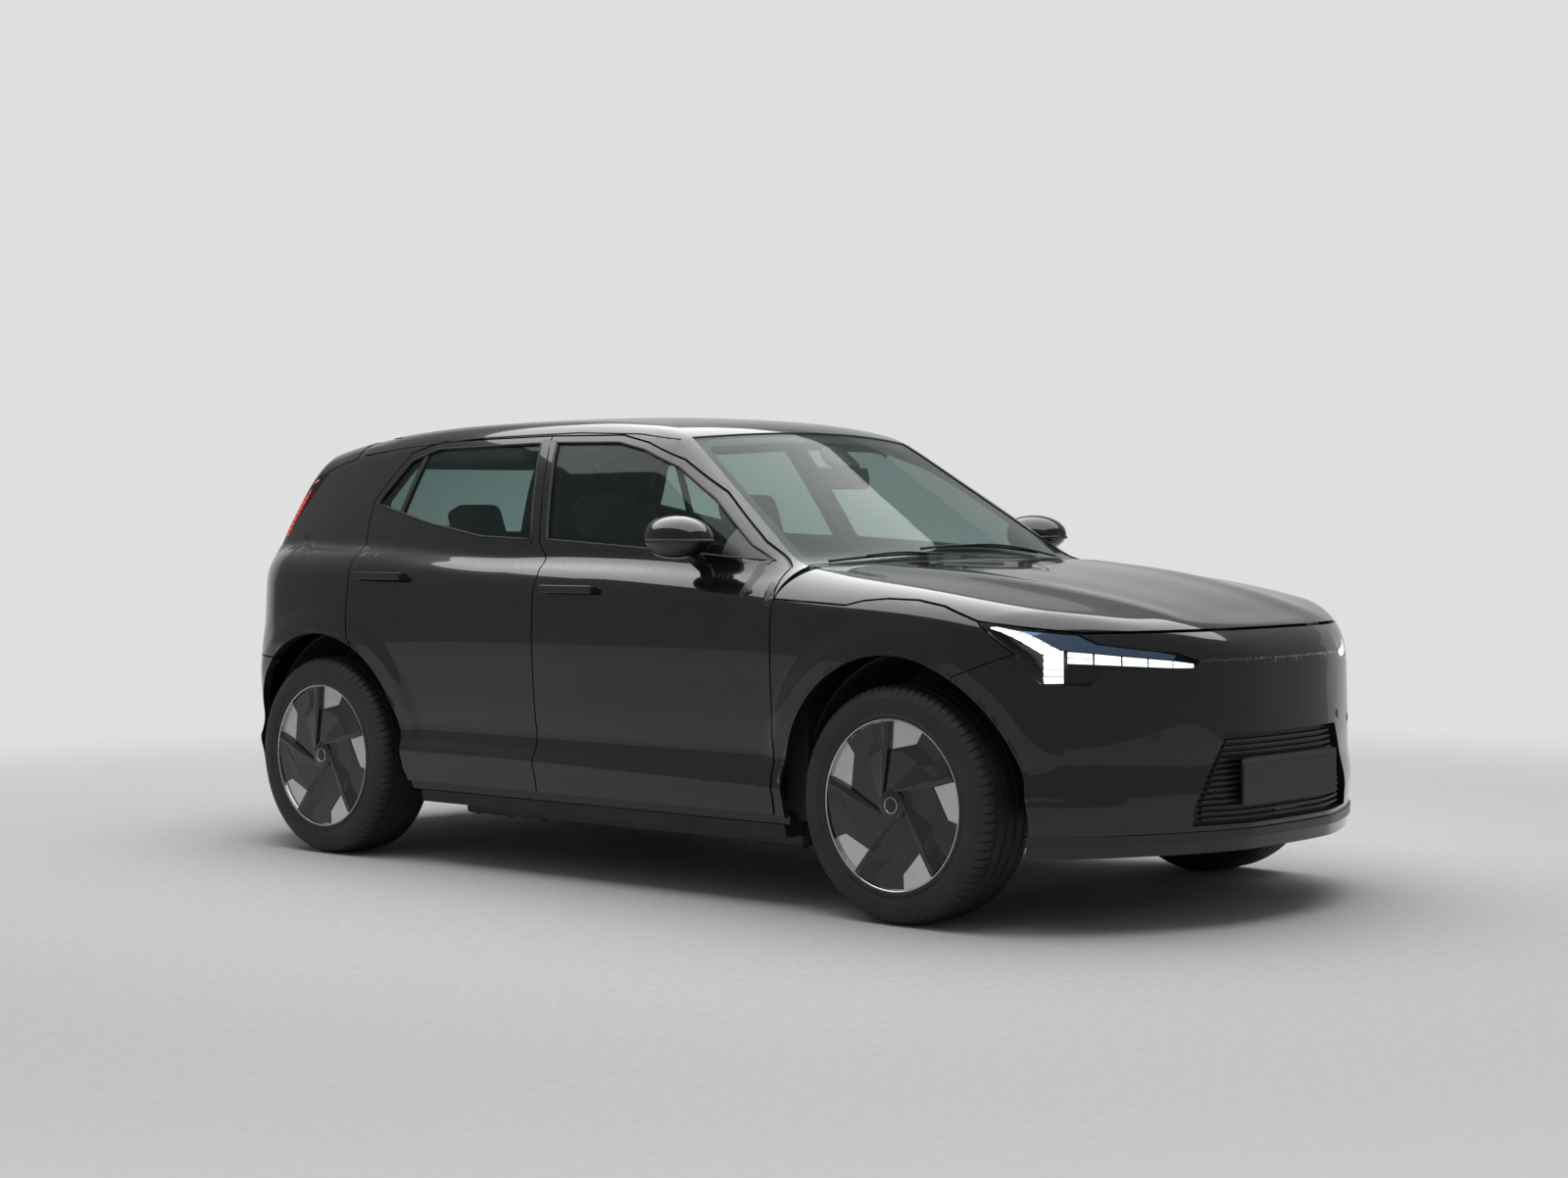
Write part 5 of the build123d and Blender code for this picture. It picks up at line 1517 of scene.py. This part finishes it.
# ------------------------------------------------------------------ underside
def underside():
    """Battery ribs and bolts that show from below."""
    verts, faces = [], []
    for k in range(9):
        x = -700 + 170 * k
        start = len(verts)
        for y in (-640, 640):
            for dx, z in ((-14, 168.5), (-9, 160), (9, 160), (14, 168.5)):
                verts.append((x + dx, y, z))
        faces += [tuple(start + i for i in f) for f in rows_to_faces(2, 4)]
        faces += [(start, start + 1, start + 2, start + 3),
                  (start + 7, start + 6, start + 5, start + 4)]
    o = piece("battery_ribs", verts, faces, BATTERY, "root")
    crease_by_angle(o, 25)
    bolts = []
    for x in range(-760, 800, 170):
        for y in (-668, 668):
            v = []
            for z, r in ((168.5, 9), (163, 9), (162, 7.5), (162, 0.1)):
                v += [(x + r * math.cos(a), y + r * math.sin(a), z)
                      for a in np.linspace(0, 2 * math.pi, 6, endpoint=False)]
            bolts.append((v, rows_to_faces(4, 6, wrap_cols=True)))
    gathered("battery_bolts", bolts, UNDER, "root", sharp=20)


def rail_ends():
    """Closes the rear ends of the roof rails, ahead of the tailgate's seam."""
    xs, turns = np.linspace(-1290, -1481, 12), np.radians(np.linspace(8, 40, 12))
    x, a = [v.reshape(-1) for v in np.meshgrid(xs, turns, indexing="ij")]
    flat = 0 * x
    p = cast(np.stack([x, flat, flat + 1250], 1), np.stack([flat, -np.cos(a), np.sin(a)], 1))
    out, deep = p - 1.2 * gradient(p), p - 8 * gradient(p)
    n = len(p)
    front = rows_to_faces(12, 12)
    rim = (list(range(12)) + [12 * i + 11 for i in range(1, 12)] + list(range(142, 131, -1))
           + [12 * i for i in range(10, 0, -1)])
    faces = front + [tuple(n + k for k in f[::-1]) for f in front]
    faces += [(rim[k], rim[k - 1], n + rim[k - 1], n + rim[k]) for k in range(len(rim))]
    gathered("rail_ends", both_sides([(list(np.vstack([out, deep])), faces)]), PAINT, "root")


tail_lights()
rail_ends()
tailgate_trim()
rear_bumper_trim()
underside()


# ------------------------------------------------------------------ studio, light, camera
VIEW_YAW, VIEW_PITCH, VIEW_ROLL = (math.radians(a) for a in (132.165, -1.390, 0.247))
VIEW_PLACE = (6.2232, -6.7828, 1.1675)
SENSOR_WIDTH, FOCAL_LENGTH = 36.0, 60.70
PALE = (0.74, 0.74, 0.75, 1)
PALE_FROM, PALE_WHOLE = 2.2, 7.0  # metres from the car's middle
SKY, SKY_STRENGTH = (0.80, 0.80, 0.82, 1), 0.35
CEILING_POWER = 460


def studio():
    """Pale floor that turns up into a backdrop, out of the car's way."""
    far, high, bend = 9.0, 6.0, 2.0
    steps = 12
    profile = [(-far, 0.0)] + [(far - bend + bend * math.sin(a), bend - bend * math.cos(a))
                               for a in np.linspace(0, math.pi / 2, steps)] + [(far, high)]
    turn = Matrix.Rotation(VIEW_YAW, 4, "Z")
    verts = [turn @ Vector((u, s, z)) for s in (-14.0, 14.0) for u, z in profile]
    me = bpy.data.meshes.new("studio_floor")
    me.from_pydata([tuple(v) for v in verts], [], rows_to_faces(2, len(profile)))
    o = bpy.data.objects.new("studio_floor", me)
    bpy.context.scene.collection.objects.link(o)
    for f in me.polygons:
        f.use_smooth = True
    m, t, s = new_material("pale_floor")
    grain = noise_at(t, 30, 4)
    s.inputs["Roughness"].default_value = 0.8
    t.links.new(mixed(t, grain.outputs[0], (0.48, 0.48, 0.49), (0.52, 0.52, 0.53)),
                s.inputs["Base Color"])
    pale_far_off(t, s)
    me.materials.append(m)


def pale_far_off(tree, shader):
    """Away from the car, rays that see the floor and backdrop find an even pale colour.

    A camera that stands behind the backdrop looks through it."""
    out = [n for n in tree.nodes if n.type == "OUTPUT_MATERIAL"][0]
    bright = add(tree, "Emission", strength=1.0)
    bright.inputs[0].default_value = PALE
    place = add(tree, "NewGeometry")
    far = add(tree, "VectorMath", operation="LENGTH")
    tree.links.new(place.outputs["Position"], far.inputs[0])
    fade = add(tree, "MapRange", interpolation_type="SMOOTHSTEP")
    fade.inputs["From Min"].default_value = PALE_FROM
    fade.inputs["From Max"].default_value = PALE_WHOLE
    tree.links.new(far.outputs["Value"], fade.inputs["Value"])
    rays = add(tree, "LightPath")
    half = add(tree, "Math", operation="MULTIPLY")
    half.inputs[1].default_value = 0.5
    tree.links.new(rays.outputs["Is Glossy Ray"], half.inputs[0])
    seen = rays.outputs["Is Camera Ray"]
    for other in (half.outputs[0], rays.outputs["Is Transmission Ray"]):
        larger = add(tree, "Math", operation="MAXIMUM")
        tree.links.new(seen, larger.inputs[0])
        tree.links.new(other, larger.inputs[1])
        seen = larger.outputs[0]
    share = add(tree, "Math", operation="MULTIPLY")
    tree.links.new(seen, share.inputs[0])
    tree.links.new(fade.outputs[0], share.inputs[1])
    lit = add(tree, "MixShader")
    tree.links.new(share.outputs[0], lit.inputs[0])
    tree.links.new(shader.outputs[0], lit.inputs[1])
    tree.links.new(bright.outputs[0], lit.inputs[2])
    behind = add(tree, "Math", operation="MULTIPLY")
    tree.links.new(rays.outputs["Is Camera Ray"], behind.inputs[0])
    tree.links.new(place.outputs["Backfacing"], behind.inputs[1])
    clear = add(tree, "BsdfTransparent")
    through = add(tree, "MixShader")
    tree.links.new(behind.outputs[0], through.inputs[0])
    tree.links.new(lit.outputs[0], through.inputs[1])
    tree.links.new(clear.outputs[0], through.inputs[2])
    tree.links.new(through.outputs[0], out.inputs[0])


def area_light(name, place, aim, size, power, size_y=None):
    light = bpy.data.lights.new(name, "AREA")
    light.energy = power
    light.shape = "RECTANGLE"
    light.size, light.size_y = size, size_y or size
    o = bpy.data.objects.new(name, light)
    o.location = place
    o.rotation_euler = (Vector(aim) - Vector(place)).to_track_quat("-Z", "Y").to_euler()
    bpy.context.scene.collection.objects.link(o)


def lights():
    world = bpy.data.worlds.new("studio_air")
    bpy.context.scene.world = world
    world.use_nodes = True
    world.node_tree.nodes["Background"].inputs[0].default_value = SKY
    world.node_tree.nodes["Background"].inputs[1].default_value = SKY_STRENGTH
    area_light("ceiling", (-0.5, 0.5, 4.6), (-0.5, 0.5, 0), 8.0, CEILING_POWER, 7.0)


def camera():
    cam = bpy.data.cameras.new("camera")
    o = bpy.data.objects.new("camera", cam)
    bpy.context.scene.collection.objects.link(o)
    o.location = VIEW_PLACE
    level = math.cos(VIEW_PITCH)
    look = Vector((math.cos(VIEW_YAW) * level, math.sin(VIEW_YAW) * level,
                   math.sin(VIEW_PITCH)))
    turn = look.to_track_quat("-Z", "Y").to_matrix().to_4x4()
    o.rotation_euler = (turn @ Matrix.Rotation(-VIEW_ROLL, 4, "Z")).to_euler()
    cam.sensor_width, cam.lens = SENSOR_WIDTH, FOCAL_LENGTH
    bpy.context.scene.camera = o


studio()
lights()
camera()
bpy.context.scene.view_settings.view_transform = "Standard"
